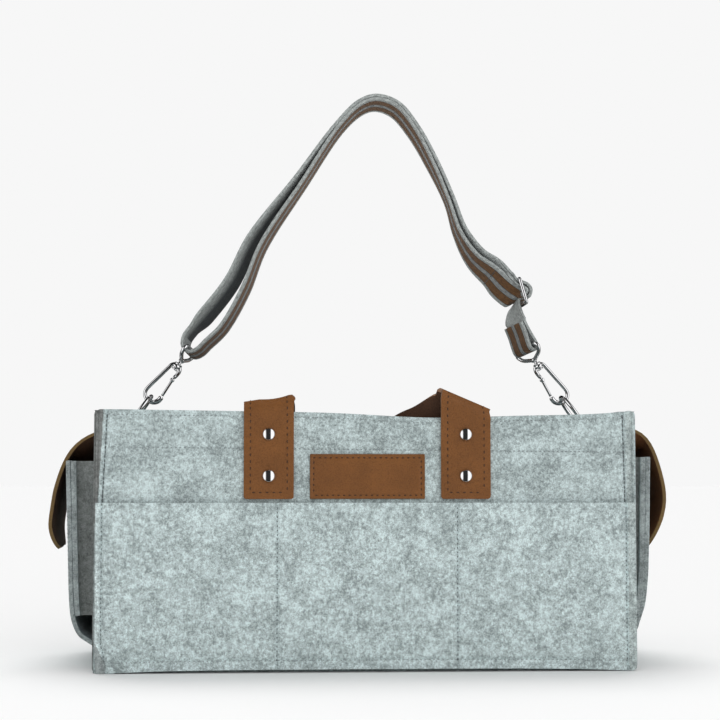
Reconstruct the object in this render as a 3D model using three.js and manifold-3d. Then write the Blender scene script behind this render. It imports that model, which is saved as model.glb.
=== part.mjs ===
// A felt nursery caddy: an open felt tote with slip pockets, two bellows side pockets under
// leather flaps, two leather handles and a clip-on webbing shoulder strap.
// Millimetres, +Z up, +X to the right seen from the front, -Y towards the front.
// The origin is on the floor, under the middle of the caddy.
import * as THREE from 'three';
import { mergeVertices } from 'three/addons/utils/BufferGeometryUtils.js';
import Module from 'manifold-3d';

const wasm = await Module();
wasm.setup();

// Fits
const SEAM_GAP = 0.3; // between sewn or seated pieces
const RUNNING_GAP = 0.3; // between a pin and its hole

// Felt body
const BODY_WIDTH = 380; // over the seam lips
const BODY_DEPTH = 230; // over the front and back walls
const BODY_HEIGHT = 183;
const RIM_SAG = 4; // dip of the front and back rims at the middle
const RIM_CORNER = 5;
const FELT = 3.5;
const SEAM_LIP = 7; // raw edge that stands out past a side wall
const FACING = 2; // inner facing along the front and back rims
const FACING_DROP = 33;
const BASE_TURN_UP = 14;
const BOARD = 2.5;
const SLIP_POCKET_DROP = 65; // from the rim's corners down to the pockets' top
const DIVIDER_PLACE = 100;
const DIVIDER_DROP = 33; // from the rim's corners down to a divider's top
const DIVIDER_PLAY = 0.5;

// Leather handles and their rivets
const HANDLE_WIDTH = 35;
const HANDLE_PLACE = 69.4; // from the middle to the centre of a leg
const HANDLE_LEATHER = 3;
const LEG_CLEARANCE = 2.6; // legs and patch above the slip pockets
const LEG_RISE = 0.8; // leg above the sagging rim
const LEG_CORNER = 4;
const FOLD_RISE = 4.5; // straight leather above the leg's panel before the fold over the rim
const LEG_OVERLAP = 1;
const LEFT_FOLD_TILT = 10; // degrees
const LEFT_FOLD_DRIFT = 1;
const RIGHT_FOLD_TILT = 23;
const RIGHT_FOLD_DRIFT = 6;
const GRIP_DROP = 62; // from the top of the legs' panels to the lowest part of the grip
const GRIP_PLAY = 1.4; // between the grip and the facing
const RIVET_RISES = [16.2, 45.4]; // above a leg's bottom
const RIVET_HEAD = 9;
const RIVET_DOME = 2.6;
const RIVET_SHANK = 3;
const RIVET_CAP = 8;
const RIVET_CAP_THICKNESS = 1;

// Label patch
const PATCH_WIDTH = 81;
const PATCH_HEIGHT = 31.5;
const PATCH_LEATHER = 1.8;
const PATCH_CORNER = 2;

// Side pockets and flaps
const POCKET_DEPTH = 31.5; // from the side wall to the outer face
const POCKET_DROP = 36; // from the rim's corners down to the pocket's top
const POCKET_WIDTH = 124;
const POCKET_FLOOR = 17; // where the outer panel meets the side wall
const POCKET_TURN = 18; // radius of the outer panel's lower turn
const POCKET_LIP = 7;
const GUSSET_ABOVE_TURN = 1;
const FLAP_WIDTH = 100;
const FLAP_LEATHER = 2.6;
const FLAP_DROP = 11; // from the rim's corners down to the flap's top
const FLAP_STANDOFF = 14.5; // from the pocket's face to the flap's tip
const FLAP_FALL = 88; // from the flap's top down to its tip
const FLAP_CORNER = 24;
const FLAP_STRIP = 9; // sewn strip above the flap

// Rings, swivel hooks and strap
const RING_WIRE = 3;
const RING_HALF_WIDTH = 14;
const RING_REACH = 30.5; // from the bar to the top of the ring, wire centre to wire centre
const RING_CORNER = 3;
const RING_BELOW_RIM = 10;
const RING_LEAN = 54; // degrees above level
const TAB_WEBBING = 1.7;
const TAB_WIDTH = 24;
const TAB_LENGTH = 36;
const HOOK_WIRE = 3.2;
const HOOK_BOW = 6.4; // radius of the hook's bowl, to the wire's centre
const HOOK_LENGTH = 37; // from the swivel to the bottom of the bowl
const HOOK_RING_GAP = 0.9;
const HOOK_LEAN_LEFT = 40;
const HOOK_LEAN_RIGHT = 36;
const HOOK_SHOULDER = 4.3; // half width over the wire at the swivel end
const COLLAR_RADIUS = 3.4;
const COLLAR_TOP = 0.4;
const COLLAR_LENGTH = 4;
const STUD = 2.6;
const STUD_HEAD = 4.6;
const STUD_HEAD_LENGTH = 1.2;
const STUD_PLAY = 0.8;
const GATE_WIRE = 2;
const GATE_PIVOT = 13.4; // below the swivel
const GATE_PIN = 1.2;
const GATE_PIN_LENGTH = 5.4;
const CHEEK = 0.8;
const EYE_REACH = 13.5; // from the swivel to the bar that the webbing goes round
const EYE_TWIST_RIGHT = 30;
const STRAP_WIDTH = 25;
const STRAP_WEBBING = 2;
const STRAP_SIDE_PLAY = 1.5;
const STRAP_TOP = 243.4; // top of the arch above the rim
const STRAP_TOP_OFFSET = 14; // top of the arch to the right of the middle
const SLIDER_HEIGHT = 22;
const SLIDER_BAR = 2.8;
const SLIDER_INSET = 10.9; // from the right swivel towards the middle
const SLIDER_RISE = 55.5; // above the right swivel
const SLIDER_TURN = 30; // degrees about the upright
const SLIDER_TILT = 21;

// Places that follow from the driving dimensions
const HALF_WIDTH = BODY_WIDTH / 2;
const HALF_DEPTH = BODY_DEPTH / 2;
const SIDE_OUTER = HALF_WIDTH - SEAM_LIP;
const SIDE_INNER = SIDE_OUTER - FELT;
const WALL_INNER = HALF_DEPTH - FELT;
const BASE_HALF_DEPTH = WALL_INNER - SEAM_GAP;
const BASE_HALF_WIDTH = SIDE_INNER - SEAM_GAP;
const POCKET_REACH = SIDE_OUTER + POCKET_DEPTH;
const FLAP_REACH = POCKET_REACH + FLAP_STANDOFF;
const SLIP_POCKET_HEIGHT = BODY_HEIGHT - SLIP_POCKET_DROP;
const DIVIDER_TOP = BODY_HEIGHT - DIVIDER_DROP;
const LEG_BOTTOM = SLIP_POCKET_HEIGHT + LEG_CLEARANCE;
const RIVET_HEIGHTS = RIVET_RISES.map((rise) => LEG_BOTTOM + rise);
const POCKET_TOP = BODY_HEIGHT - POCKET_DROP;
const FLAP_TOP = BODY_HEIGHT - FLAP_DROP;
const FLAP_TIP = FLAP_TOP - FLAP_FALL;
const BOARD_TOP = FELT + SEAM_GAP + BOARD;
const GUSSET_BOTTOM = POCKET_FLOOR + POCKET_TURN + GUSSET_ABOVE_TURN;
const RIM_MIDDLE = BODY_HEIGHT - RIM_SAG;
const LEG_TOP = rimHeight(HANDLE_PLACE) + LEG_RISE;
const GRIP_OUTER_Y = -(HALF_DEPTH + SEAM_GAP + HANDLE_LEATHER / 2);
const GRIP_INNER_Y = -(WALL_INNER - SEAM_GAP - FACING - SEAM_GAP - HANDLE_LEATHER / 2 - GRIP_PLAY);
const FOLD_MIDDLE_Y = (GRIP_OUTER_Y + GRIP_INNER_Y) / 2;
const FOLD_RADIUS = (GRIP_INNER_Y - GRIP_OUTER_Y) / 2;
const SWIVEL_TO_RING = HOOK_LENGTH - HOOK_WIRE / 2 - HOOK_RING_GAP - RING_WIRE / 2;

const FELT_GREY = 0xb9c6c8;
const LEATHER_TAN = 0x8f5a34;
const WEBBING_GREY = 0x8b9192;
const CHROME_GREY = 0xd8d8d8;

function rimHeight(x) {
  return BODY_HEIGHT - RIM_SAG * (1 - (x / HALF_WIDTH) ** 2);
}

function finish(color, roughness, metalness = 0) {
  return new THREE.MeshStandardMaterial({ color, roughness, metalness });
}

const felt = () => finish(FELT_GREY, 0.95);
const leather = () => finish(LEATHER_TAN, 0.55);
const webbing = () => finish(WEBBING_GREY, 0.85);
const chrome = () => finish(CHROME_GREY, 0.15, 1);
const board = () => finish(0x6d7173, 0.9);

// Geometry helpers

// Keeps the positions alone, welds them and turns the faces out.
function closed(geometry) {
  let bare = geometry.clone();
  for (const attribute of Object.keys(bare.attributes)) {
    if (attribute !== 'position') {
      bare.deleteAttribute(attribute);
    }
  }
  bare = mergeVertices(bare, 1e-4);
  const corners = bare.getAttribute('position');
  const index = bare.getIndex().array.slice();
  const [a, b, c] = [new THREE.Vector3(), new THREE.Vector3(), new THREE.Vector3()];
  const kept = [];
  let volume = 0;
  for (let i = 0; i < index.length; i += 3) {
    const [p, q, r] = [index[i], index[i + 1], index[i + 2]];
    if (p === q || q === r || r === p) {
      continue;
    }
    a.fromBufferAttribute(corners, p);
    b.fromBufferAttribute(corners, q);
    c.fromBufferAttribute(corners, r);
    volume += a.dot(b.cross(c));
    kept.push(p, q, r);
  }
  if (volume < 0) {
    kept.reverse();
  }
  bare.setIndex(kept);
  bare.computeVertexNormals();
  return bare;
}

function piece(name, geometry, material) {
  const mesh = new THREE.Mesh(closed(geometry), material);
  mesh.name = name;
  return mesh;
}

function toSolid(geometry) {
  const bare = closed(geometry);
  return new wasm.Manifold(new wasm.Mesh({
    numProp: 3,
    vertProperties: new Float32Array(bare.getAttribute('position').array),
    triVerts: new Uint32Array(bare.getIndex().array),
  }));
}

function toGeometry(solid) {
  const mesh = solid.getMesh();
  const geometry = new THREE.BufferGeometry();
  geometry.setAttribute('position', new THREE.BufferAttribute(mesh.vertProperties, 3));
  geometry.setIndex(new THREE.BufferAttribute(mesh.triVerts, 1));
  return geometry;
}

// Skins a row of sections, each a ring of points, into one closed body.
function sweep(sections, isRing = false) {
  const sides = sections[0].length;
  const geometry = new THREE.BufferGeometry().setFromPoints(sections.flat());
  const index = [];
  const last = isRing ? sections.length : sections.length - 1;
  for (let i = 0; i < last; i += 1) {
    const near = i * sides;
    const far = ((i + 1) % sections.length) * sides;
    for (let k = 0; k < sides; k += 1) {
      const next = (k + 1) % sides;
      const [a, b, c, d] = [near + k, near + next, far + next, far + k];
      // Facing sides split along the same diagonal, so a twisted band keeps its thickness.
      index.push(...(k < sides / 2 ? [a, b, c, a, c, d] : [a, b, d, b, c, d]));
    }
  }
  if (!isRing) {
    const end = (sections.length - 1) * sides;
    for (let k = 1; k < sides - 1; k += 1) {
      index.push(0, k + 1, k, end, end + k, end + k + 1);
    }
  }
  geometry.setIndex(index);
  return geometry;
}

// A flat band's section: width across, thickness through the face.
function bandSection(center, across, face, width, thickness) {
  const corners = [[-1, -1], [1, -1], [1, 1], [-1, 1]];
  return corners.map(([u, v]) => center.clone()
    .addScaledVector(across, u * width / 2)
    .addScaledVector(face, v * thickness / 2));
}

// A flat band that follows a row of stations, each with a point and a width direction. A width
// direction may slant across the band, as a diagonal fold does; the band keeps its true width.
function band(stations, width, thickness, stepsPerSpan = 3) {
  const path = new THREE.CatmullRomCurve3(stations.map((s) => s.point));
  const widths = new THREE.CatmullRomCurve3(stations.map((s) => s.across));
  const count = (stations.length - 1) * stepsPerSpan;
  const sections = [];
  for (let i = 0; i <= count; i += 1) {
    const center = path.getPoint(i / count);
    const along = path.getTangent(i / count);
    const across = widths.getPoint(i / count).normalize();
    const face = new THREE.Vector3().crossVectors(along, across);
    const slantedWidth = width / face.length();
    sections.push(bandSection(center, across, face.normalize(), slantedWidth, thickness));
  }
  return sweep(sections);
}

// A round wire along points of the XZ or YZ plane, whose normal is given.
function wire(points, normal, diameter, isRing = false, sides = 8) {
  const count = points.length;
  const sections = points.map((center, i) => {
    const before = points[isRing ? (i + count - 1) % count : Math.max(i - 1, 0)];
    const after = points[isRing ? (i + 1) % count : Math.min(i + 1, count - 1)];
    const along = after.clone().sub(before).normalize();
    const across = new THREE.Vector3().crossVectors(along, normal);
    const ring = [];
    for (let k = 0; k < sides; k += 1) {
      const angle = (k + 0.5) * 2 * Math.PI / sides;
      ring.push(center.clone()
        .addScaledVector(across, Math.cos(angle) * diameter / 2)
        .addScaledVector(normal, Math.sin(angle) * diameter / 2));
    }
    return ring;
  });
  return sweep(sections, isRing);
}

// A round bar between two heights on the Z axis.
function bar(radius, bottom, top, sides = 16) {
  const geometry = new THREE.CylinderGeometry(radius, radius, top - bottom, sides);
  geometry.rotateX(Math.PI / 2);
  geometry.translate(0, 0, (top + bottom) / 2);
  return geometry;
}

// A panel's outline in width and height, with a sagging top edge and rounded top corners.
function panelShape(width, bottom, top, sag = 0, corner = 0) {
  const half = width / 2;
  const shape = new THREE.Shape();
  shape.moveTo(-half, bottom);
  shape.lineTo(half, bottom);
  shape.lineTo(half, top - corner);
  if (corner > 0) {
    shape.quadraticCurveTo(half, top, half - corner, top);
  }
  if (sag > 0) {
    shape.quadraticCurveTo(0, top - 2 * sag, corner - half, top);
  } else {
    shape.lineTo(corner - half, top);
  }
  if (corner > 0) {
    shape.quadraticCurveTo(-half, top, -half, top - corner);
  }
  return shape;
}

function roundedShape(width, bottom, top, corner) {
  const half = width / 2;
  const shape = new THREE.Shape();
  shape.moveTo(corner - half, bottom);
  shape.lineTo(half - corner, bottom);
  shape.quadraticCurveTo(half, bottom, half, bottom + corner);
  shape.lineTo(half, top - corner);
  shape.quadraticCurveTo(half, top, half - corner, top);
  shape.lineTo(corner - half, top);
  shape.quadraticCurveTo(-half, top, -half, top - corner);
  shape.lineTo(-half, bottom + corner);
  shape.quadraticCurveTo(-half, bottom, corner - half, bottom);
  return shape;
}

function punch(shape, x, z, radius) {
  const hole = new THREE.Path();
  hole.absarc(x, z, radius, 0, 2 * Math.PI, true);
  shape.holes.push(hole);
}

// Stands a panel up: its outline lies across X and up Z, its back face at y, its front at y less thickness.
function standing(shape, thickness, y, curveSegments = 6) {
  const depth = thickness;
  const geometry = new THREE.ExtrudeGeometry(shape, { depth, bevelEnabled: false, curveSegments });
  geometry.rotateX(Math.PI / 2);
  geometry.translate(0, y, 0);
  return geometry;
}

// Extrudes an outline given as points of the XY plane upwards.
function upright(points, bottom, top) {
  const shape = new THREE.Shape(points.map(([x, y]) => new THREE.Vector2(x, y)));
  const geometry = new THREE.ExtrudeGeometry(shape, { depth: top - bottom, bevelEnabled: false });
  geometry.translate(0, 0, bottom);
  return geometry;
}

function flatBox(halfX, halfY, bottom, top) {
  const geometry = new THREE.BoxGeometry(2 * halfX, 2 * halfY, top - bottom);
  geometry.translate(0, 0, (bottom + top) / 2);
  return geometry;
}

// A sheet bent along a profile of the XZ plane; halfWidth gives its half width in Y at each point.
function bentSheet(profile, thickness, halfWidth) {
  const yAxis = new THREE.Vector3(0, 1, 0);
  const points = profile.map(([x, z]) => new THREE.Vector3(x, 0, z));
  const sections = points.map((center, i) => {
    const along = points[Math.min(i + 1, points.length - 1)].clone().sub(points[Math.max(i - 1, 0)]);
    const face = new THREE.Vector3().crossVectors(along, yAxis).normalize();
    return bandSection(center, yAxis, face, 2 * halfWidth(i), thickness);
  });
  return sweep(sections);
}

// Points on an arc of a plane, from one angle to another, in degrees.
function arc(centerA, centerB, radius, from, to, steps) {
  const points = [];
  for (let i = 0; i <= steps; i += 1) {
    const angle = THREE.MathUtils.degToRad(from + (to - from) * i / steps);
    points.push([centerA + radius * Math.cos(angle), centerB + radius * Math.sin(angle)]);
  }
  return points;
}

// Felt floor and loose pieces

function floorAndDividers() {
  const group = new THREE.Group();
  const inner = BASE_HALF_DEPTH - FELT;
  const trough = new THREE.Shape([
    [-BASE_HALF_DEPTH, 0], [BASE_HALF_DEPTH, 0], [BASE_HALF_DEPTH, BASE_TURN_UP], [inner, BASE_TURN_UP],
    [inner, FELT], [-inner, FELT], [-inner, BASE_TURN_UP], [-BASE_HALF_DEPTH, BASE_TURN_UP],
  ].map(([y, z]) => new THREE.Vector2(y, z)));
  const base = new THREE.ExtrudeGeometry(trough, { depth: 2 * BASE_HALF_WIDTH, bevelEnabled: false });
  base.translate(0, 0, -BASE_HALF_WIDTH);
  base.rotateX(Math.PI / 2);
  base.rotateZ(Math.PI / 2);
  group.add(piece('base_panel', base, felt()));
  const insert = flatBox(BASE_HALF_WIDTH - SEAM_GAP, inner - SEAM_GAP, FELT + SEAM_GAP, BOARD_TOP);
  group.add(piece('base_board', insert, board()));
  for (const [name, sign] of [['left_divider', -1], ['right_divider', 1]]) {
    const wall = flatBox(FELT / 2, inner - DIVIDER_PLAY, BOARD_TOP + SEAM_GAP, DIVIDER_TOP);
    wall.translate(sign * DIVIDER_PLACE, 0, 0);
    group.add(piece(name, wall, felt()));
  }
  return group;
}

// Front and back: wall, rim facing, slip pockets and a handle

function legShape() {
  const half = HANDLE_WIDTH / 2;
  const shape = new THREE.Shape();
  shape.moveTo(LEG_CORNER - half, LEG_BOTTOM);
  shape.lineTo(half - LEG_CORNER, LEG_BOTTOM);
  shape.quadraticCurveTo(half, LEG_BOTTOM, half, LEG_BOTTOM + LEG_CORNER);
  shape.lineTo(half, LEG_TOP);
  shape.lineTo(-half, LEG_TOP);
  shape.lineTo(-half, LEG_BOTTOM + LEG_CORNER);
  shape.quadraticCurveTo(-half, LEG_BOTTOM, LEG_CORNER - half, LEG_BOTTOM);
  return shape;
}

// Dome outside, shank through the layers, flat cap inside; the head's underside is at y = 0.
function rivet(grip) {
  const head = RIVET_HEAD / 2;
  const profile = [
    [0, RIVET_DOME], [head * 0.5, RIVET_DOME * 0.86], [head * 0.85, RIVET_DOME * 0.45], [head, 0],
    [RIVET_SHANK / 2, 0], [RIVET_SHANK / 2, -grip], [RIVET_CAP / 2, -grip],
    [RIVET_CAP / 2, -grip - RIVET_CAP_THICKNESS], [0, -grip - RIVET_CAP_THICKNESS],
  ];
  return new THREE.LatheGeometry(profile.map(([r, y]) => new THREE.Vector2(r, y)), 12);
}

// The fold that turns a leg's leather over the rim into the caddy, from outside to inside. It
// turns from level to slanted, so that the grip leaves it towards the middle.
function foldOverRim(sign, crestTilt, drift) {
  const steps = 4;
  const stations = [];
  for (let i = 0; i <= steps; i += 1) {
    const turn = Math.PI * i / steps;
    const tilt = THREE.MathUtils.degToRad(crestTilt * 2 * (i + 1) / (steps + 2));
    stations.push({
      point: new THREE.Vector3(
        sign * (HANDLE_PLACE - drift * i / steps),
        FOLD_MIDDLE_Y - FOLD_RADIUS * Math.cos(turn),
        LEG_TOP + FOLD_RISE + FOLD_RADIUS * Math.sin(turn),
      ),
      across: new THREE.Vector3(-sign * Math.cos(tilt), 0, Math.sin(tilt)),
    });
  }
  return stations;
}

// The leather above the legs' panels: up from the left leg, over the rim, down into the caddy and
// back over the rim to the right leg.
function handleLoop() {
  const foot = (sign) => ({
    point: new THREE.Vector3(sign * HANDLE_PLACE, FOLD_MIDDLE_Y - FOLD_RADIUS, LEG_TOP - LEG_OVERLAP),
    across: new THREE.Vector3(-sign, 0, 0),
  });
  const hanging = [
    [-0.84, 6, 20, 0.88, 0.3, 0.36],
    [-0.52, 13, 50, 0.45, 0.85, 0.25],
    [0, 18, GRIP_DROP, 0, 1, 0],
    [0.42, 14, 38, -0.4, 0.6, 0.69],
    [0.63, 7, 16, -0.55, 0.25, 0.8],
  ].map(([along, inwards, drop, u, v, w]) => ({
    point: new THREE.Vector3(
      along * HANDLE_PLACE,
      FOLD_MIDDLE_Y + FOLD_RADIUS + inwards,
      LEG_TOP - drop,
    ),
    across: new THREE.Vector3(u, v, w),
  }));
  const leftFold = foldOverRim(-1, LEFT_FOLD_TILT, LEFT_FOLD_DRIFT);
  const rightFold = foldOverRim(1, RIGHT_FOLD_TILT, RIGHT_FOLD_DRIFT).reverse();
  const stations = [foot(-1), ...leftFold, ...hanging, ...rightFold, foot(1)];
  return band(stations, HANDLE_WIDTH, HANDLE_LEATHER);
}

// A block that takes one half of the folds: outside their crest or inside it, on one hand or on both.
function halfOfFolds(isOutside, xLow, xHigh) {
  const height = BODY_HEIGHT + STRAP_TOP;
  const block = new THREE.BoxGeometry(xHigh - xLow, HALF_DEPTH, height);
  const away = (HALF_DEPTH + SEAM_GAP) / 2;
  block.translate((xLow + xHigh) / 2, FOLD_MIDDLE_Y + (isOutside ? -away : away), height / 2);
  return toSolid(block);
}

// Built facing the front; the back is the same group turned half round.
function longSide(face) {
  const group = new THREE.Group();
  const isBack = face === 'back';
  const hand = (sign) => ((sign < 0) !== isBack ? 'left' : 'right');
  const outerFace = -HALF_DEPTH - SEAM_GAP;
  const holeRadius = RIVET_SHANK / 2 + RUNNING_GAP;
  const [lowRivet, highRivet] = RIVET_HEIGHTS;

  const wall = panelShape(BODY_WIDTH, 0, BODY_HEIGHT, RIM_SAG, RIM_CORNER);
  const facingTop = rimHeight(BASE_HALF_WIDTH);
  const facingSag = facingTop - RIM_MIDDLE;
  const facing = panelShape(2 * BASE_HALF_WIDTH, BODY_HEIGHT - FACING_DROP, facingTop, facingSag);
  const leg = legShape();
  for (const z of RIVET_HEIGHTS) {
    punch(leg, 0, z, holeRadius);
  }
  for (const sign of [-1, 1]) {
    punch(wall, sign * HANDLE_PLACE, lowRivet, holeRadius);
    punch(wall, sign * HANDLE_PLACE, highRivet, holeRadius);
    punch(facing, sign * HANDLE_PLACE, highRivet, holeRadius);
  }
  group.add(piece(`${face}_wall`, standing(wall, FELT, -WALL_INNER), felt()));
  group.add(piece(`${face}_rim_facing`, standing(facing, FACING, -WALL_INNER + SEAM_GAP + FACING), felt()));
  const pockets = panelShape(BODY_WIDTH, 0, SLIP_POCKET_HEIGHT);
  group.add(piece(`${face}_slip_pockets`, standing(pockets, FELT, outerFace), felt()));

  const loop = toSolid(handleLoop());
  const headFace = outerFace - HANDLE_LEATHER - SEAM_GAP;
  const lowGrip = HANDLE_LEATHER + FELT + 3 * SEAM_GAP;
  const grips = [[lowRivet, lowGrip, 'lower'], [highRivet, lowGrip + FACING + SEAM_GAP, 'upper']];
  for (const sign of [-1, 1]) {
    const legSheet = standing(leg, HANDLE_LEATHER, outerFace);
    legSheet.translate(sign * HANDLE_PLACE, 0, 0);
    const [xLow, xHigh] = sign < 0 ? [-HALF_WIDTH, 0] : [0, HALF_WIDTH];
    const fold = loop.intersect(halfOfFolds(true, xLow, xHigh));
    const legWithFold = toGeometry(toSolid(legSheet).add(fold));
    group.add(piece(`${face}_handle_${hand(sign)}_leg`, legWithFold, leather()));
    for (const [z, grip, level] of grips) {
      const stud = piece(`${face}_${hand(sign)}_${level}_rivet`, rivet(grip), chrome());
      stud.position.set(sign * HANDLE_PLACE, headFace, z);
      stud.rotation.z = Math.PI;
      group.add(stud);
    }
  }
  const grip = loop.intersect(halfOfFolds(false, -HALF_WIDTH, HALF_WIDTH));
  group.add(piece(`${face}_handle_grip`, toGeometry(grip), leather()));
  group.rotation.z = isBack ? Math.PI : 0;
  return group;
}

function labelPatch() {
  const shape = roundedShape(PATCH_WIDTH, LEG_BOTTOM, LEG_BOTTOM + PATCH_HEIGHT, PATCH_CORNER);
  return piece('label_patch', standing(shape, PATCH_LEATHER, -HALF_DEPTH - SEAM_GAP, 3), leather());
}

// Ends: side wall with outward lips, bellows pocket, flap, ring tab and ring

const RING_BAR_X = SIDE_INNER - SEAM_GAP - TAB_WEBBING - RUNNING_GAP - RING_WIRE / 2;
const RING_BAR_Z = BODY_HEIGHT - RING_BELOW_RIM;

function sideWall() {
  const end = WALL_INNER - SEAM_GAP;
  return upright([
    [SIDE_INNER, -end], [HALF_WIDTH, -end], [HALF_WIDTH, FELT - end], [SIDE_OUTER, FELT - end],
    [SIDE_OUTER, end - FELT], [HALF_WIDTH, end - FELT], [HALF_WIDTH, end], [SIDE_INNER, end],
  ], 0, BODY_HEIGHT);
}

function pocketPanel() {
  const middle = POCKET_REACH - FELT / 2;
  const turn = arc(middle - POCKET_TURN, POCKET_FLOOR + POCKET_TURN, POCKET_TURN, 0, -90, 6);
  const profile = [[middle, POCKET_TOP], ...turn, [SIDE_OUTER + SEAM_GAP, POCKET_FLOOR]];
  return bentSheet(profile, FELT, () => POCKET_WIDTH / 2);
}

// A channel of felt with both flanges turned out; sign is -1 for the one nearer the front.
function gusset(sign) {
  const inner = SIDE_OUTER + SEAM_GAP;
  const outer = POCKET_REACH - FELT - SEAM_GAP;
  const edge = POCKET_WIDTH / 2;
  const web = edge - POCKET_LIP;
  return upright([
    [inner, edge], [inner + FELT, edge], [inner + FELT, web], [outer - FELT, web],
    [outer - FELT, edge], [outer, edge], [outer, web - FELT], [inner, web - FELT],
  ].map(([x, y]) => [x, sign * y]), GUSSET_BOTTOM, POCKET_TOP);
}

function flap() {
  const curve = new THREE.CubicBezierCurve(
    new THREE.Vector2(SIDE_OUTER + SEAM_GAP + FLAP_LEATHER, FLAP_TOP - FLAP_LEATHER / 2),
    new THREE.Vector2(FLAP_REACH - 5, FLAP_TOP + 2),
    new THREE.Vector2(FLAP_REACH - 9, (FLAP_TOP + FLAP_TIP) / 2 + 12),
    new THREE.Vector2(FLAP_REACH - FLAP_LEATHER / 2, FLAP_TIP),
  );
  const length = curve.getLength();
  const stops = [0, 0.08, 0.16, 0.25, 0.34, 0.43, 0.52, 0.62, 0.72];
  const cornerStart = 1 - FLAP_CORNER / length;
  const cornerSteps = 6;
  const distances = stops.filter((s) => s < cornerStart - 0.03);
  for (let i = 0; i <= cornerSteps; i += 1) {
    distances.push(cornerStart + (1 - cornerStart) * Math.sin(i / cornerSteps * Math.PI / 2));
  }
  const profile = distances.map((s) => curve.getPointAt(s)).map((p) => [p.x, p.y]);
  const halfWidth = (i) => {
    const into = Math.max(0, (distances[i] - cornerStart) * length);
    return FLAP_WIDTH / 2 - FLAP_CORNER + Math.sqrt(FLAP_CORNER ** 2 - Math.min(into, FLAP_CORNER) ** 2);
  };
  return bentSheet(profile, FLAP_LEATHER, halfWidth);
}

function flapStrip() {
  const strip = new THREE.BoxGeometry(FLAP_LEATHER, FLAP_WIDTH, FLAP_STRIP);
  strip.translate(SIDE_OUTER + SEAM_GAP + FLAP_LEATHER / 2, 0, FLAP_TOP + SEAM_GAP + FLAP_STRIP / 2);
  return strip;
}

// A webbing strip folded round the ring's bar, both ends sewn to the side wall.
function ringTab() {
  const turn = RING_WIRE / 2 + RUNNING_GAP + TAB_WEBBING / 2;
  const wallLayer = RING_BAR_X + turn;
  const innerLayer = wallLayer - TAB_WEBBING - SEAM_GAP;
  const bottom = RING_BAR_Z - TAB_LENGTH;
  const profile = [
    [wallLayer, bottom], ...arc(RING_BAR_X, RING_BAR_Z, turn, 0, 180, 8),
    [RING_BAR_X - turn + 0.6, RING_BAR_Z - 4], [innerLayer, RING_BAR_Z - 14], [innerLayer, bottom],
  ];
  return bentSheet(profile, TAB_WEBBING, () => TAB_WIDTH / 2);
}

function ring() {
  const half = RING_HALF_WIDTH;
  const outline = [
    ...arc(RING_CORNER - half, RING_CORNER, RING_CORNER, 180, 270, 3),
    ...arc(half - RING_CORNER, RING_CORNER, RING_CORNER, 270, 360, 3),
    ...arc(0, RING_REACH - half, half, 0, 180, 12),
  ];
  const points = outline.map(([y, z]) => new THREE.Vector3(0, y, z));
  return wire(points, new THREE.Vector3(1, 0, 0), RING_WIRE, true);
}

// Built on the right; the left end is the same group turned half round.
function shortSide(side) {
  const group = new THREE.Group();
  const isLeft = side === 'left';
  const place = (sign) => ((sign < 0) !== isLeft ? 'front' : 'rear');
  group.add(piece(`${side}_side_wall`, sideWall(), felt()));
  group.add(piece(`${side}_pocket_panel`, pocketPanel(), felt()));
  for (const sign of [-1, 1]) {
    group.add(piece(`${side}_pocket_${place(sign)}_gusset`, gusset(sign), felt()));
  }
  group.add(piece(`${side}_flap`, flap(), leather()));
  group.add(piece(`${side}_flap_strip`, flapStrip(), leather()));
  group.add(piece(`${side}_ring_tab`, ringTab(), webbing()));
  const dRing = piece(`${side}_ring`, ring(), chrome());
  dRing.position.set(RING_BAR_X, 0, RING_BAR_Z);
  dRing.rotation.y = -THREE.MathUtils.degToRad(90 - RING_LEAN);
  group.add(dRing);
  group.rotation.z = isLeft ? Math.PI : 0;
  return group;
}

// Swivel hooks

const RING_TOP_X = RING_BAR_X - RING_REACH * Math.cos(THREE.MathUtils.degToRad(RING_LEAN));
const RING_TOP_Z = RING_BAR_Z + RING_REACH * Math.sin(THREE.MathUtils.degToRad(RING_LEAN));

// Where a hook's swivel sits, straight above the top of its ring along the hook's lean.
function swivelPlace(side) {
  const sign = side === 'left' ? -1 : 1;
  const lean = THREE.MathUtils.degToRad(side === 'left' ? HOOK_LEAN_LEFT : HOOK_LEAN_RIGHT);
  return new THREE.Vector3(
    sign * (RING_TOP_X - SWIVEL_TO_RING * Math.sin(lean)),
    0,
    RING_TOP_Z + SWIVEL_TO_RING * Math.cos(lean),
  );
}

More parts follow.
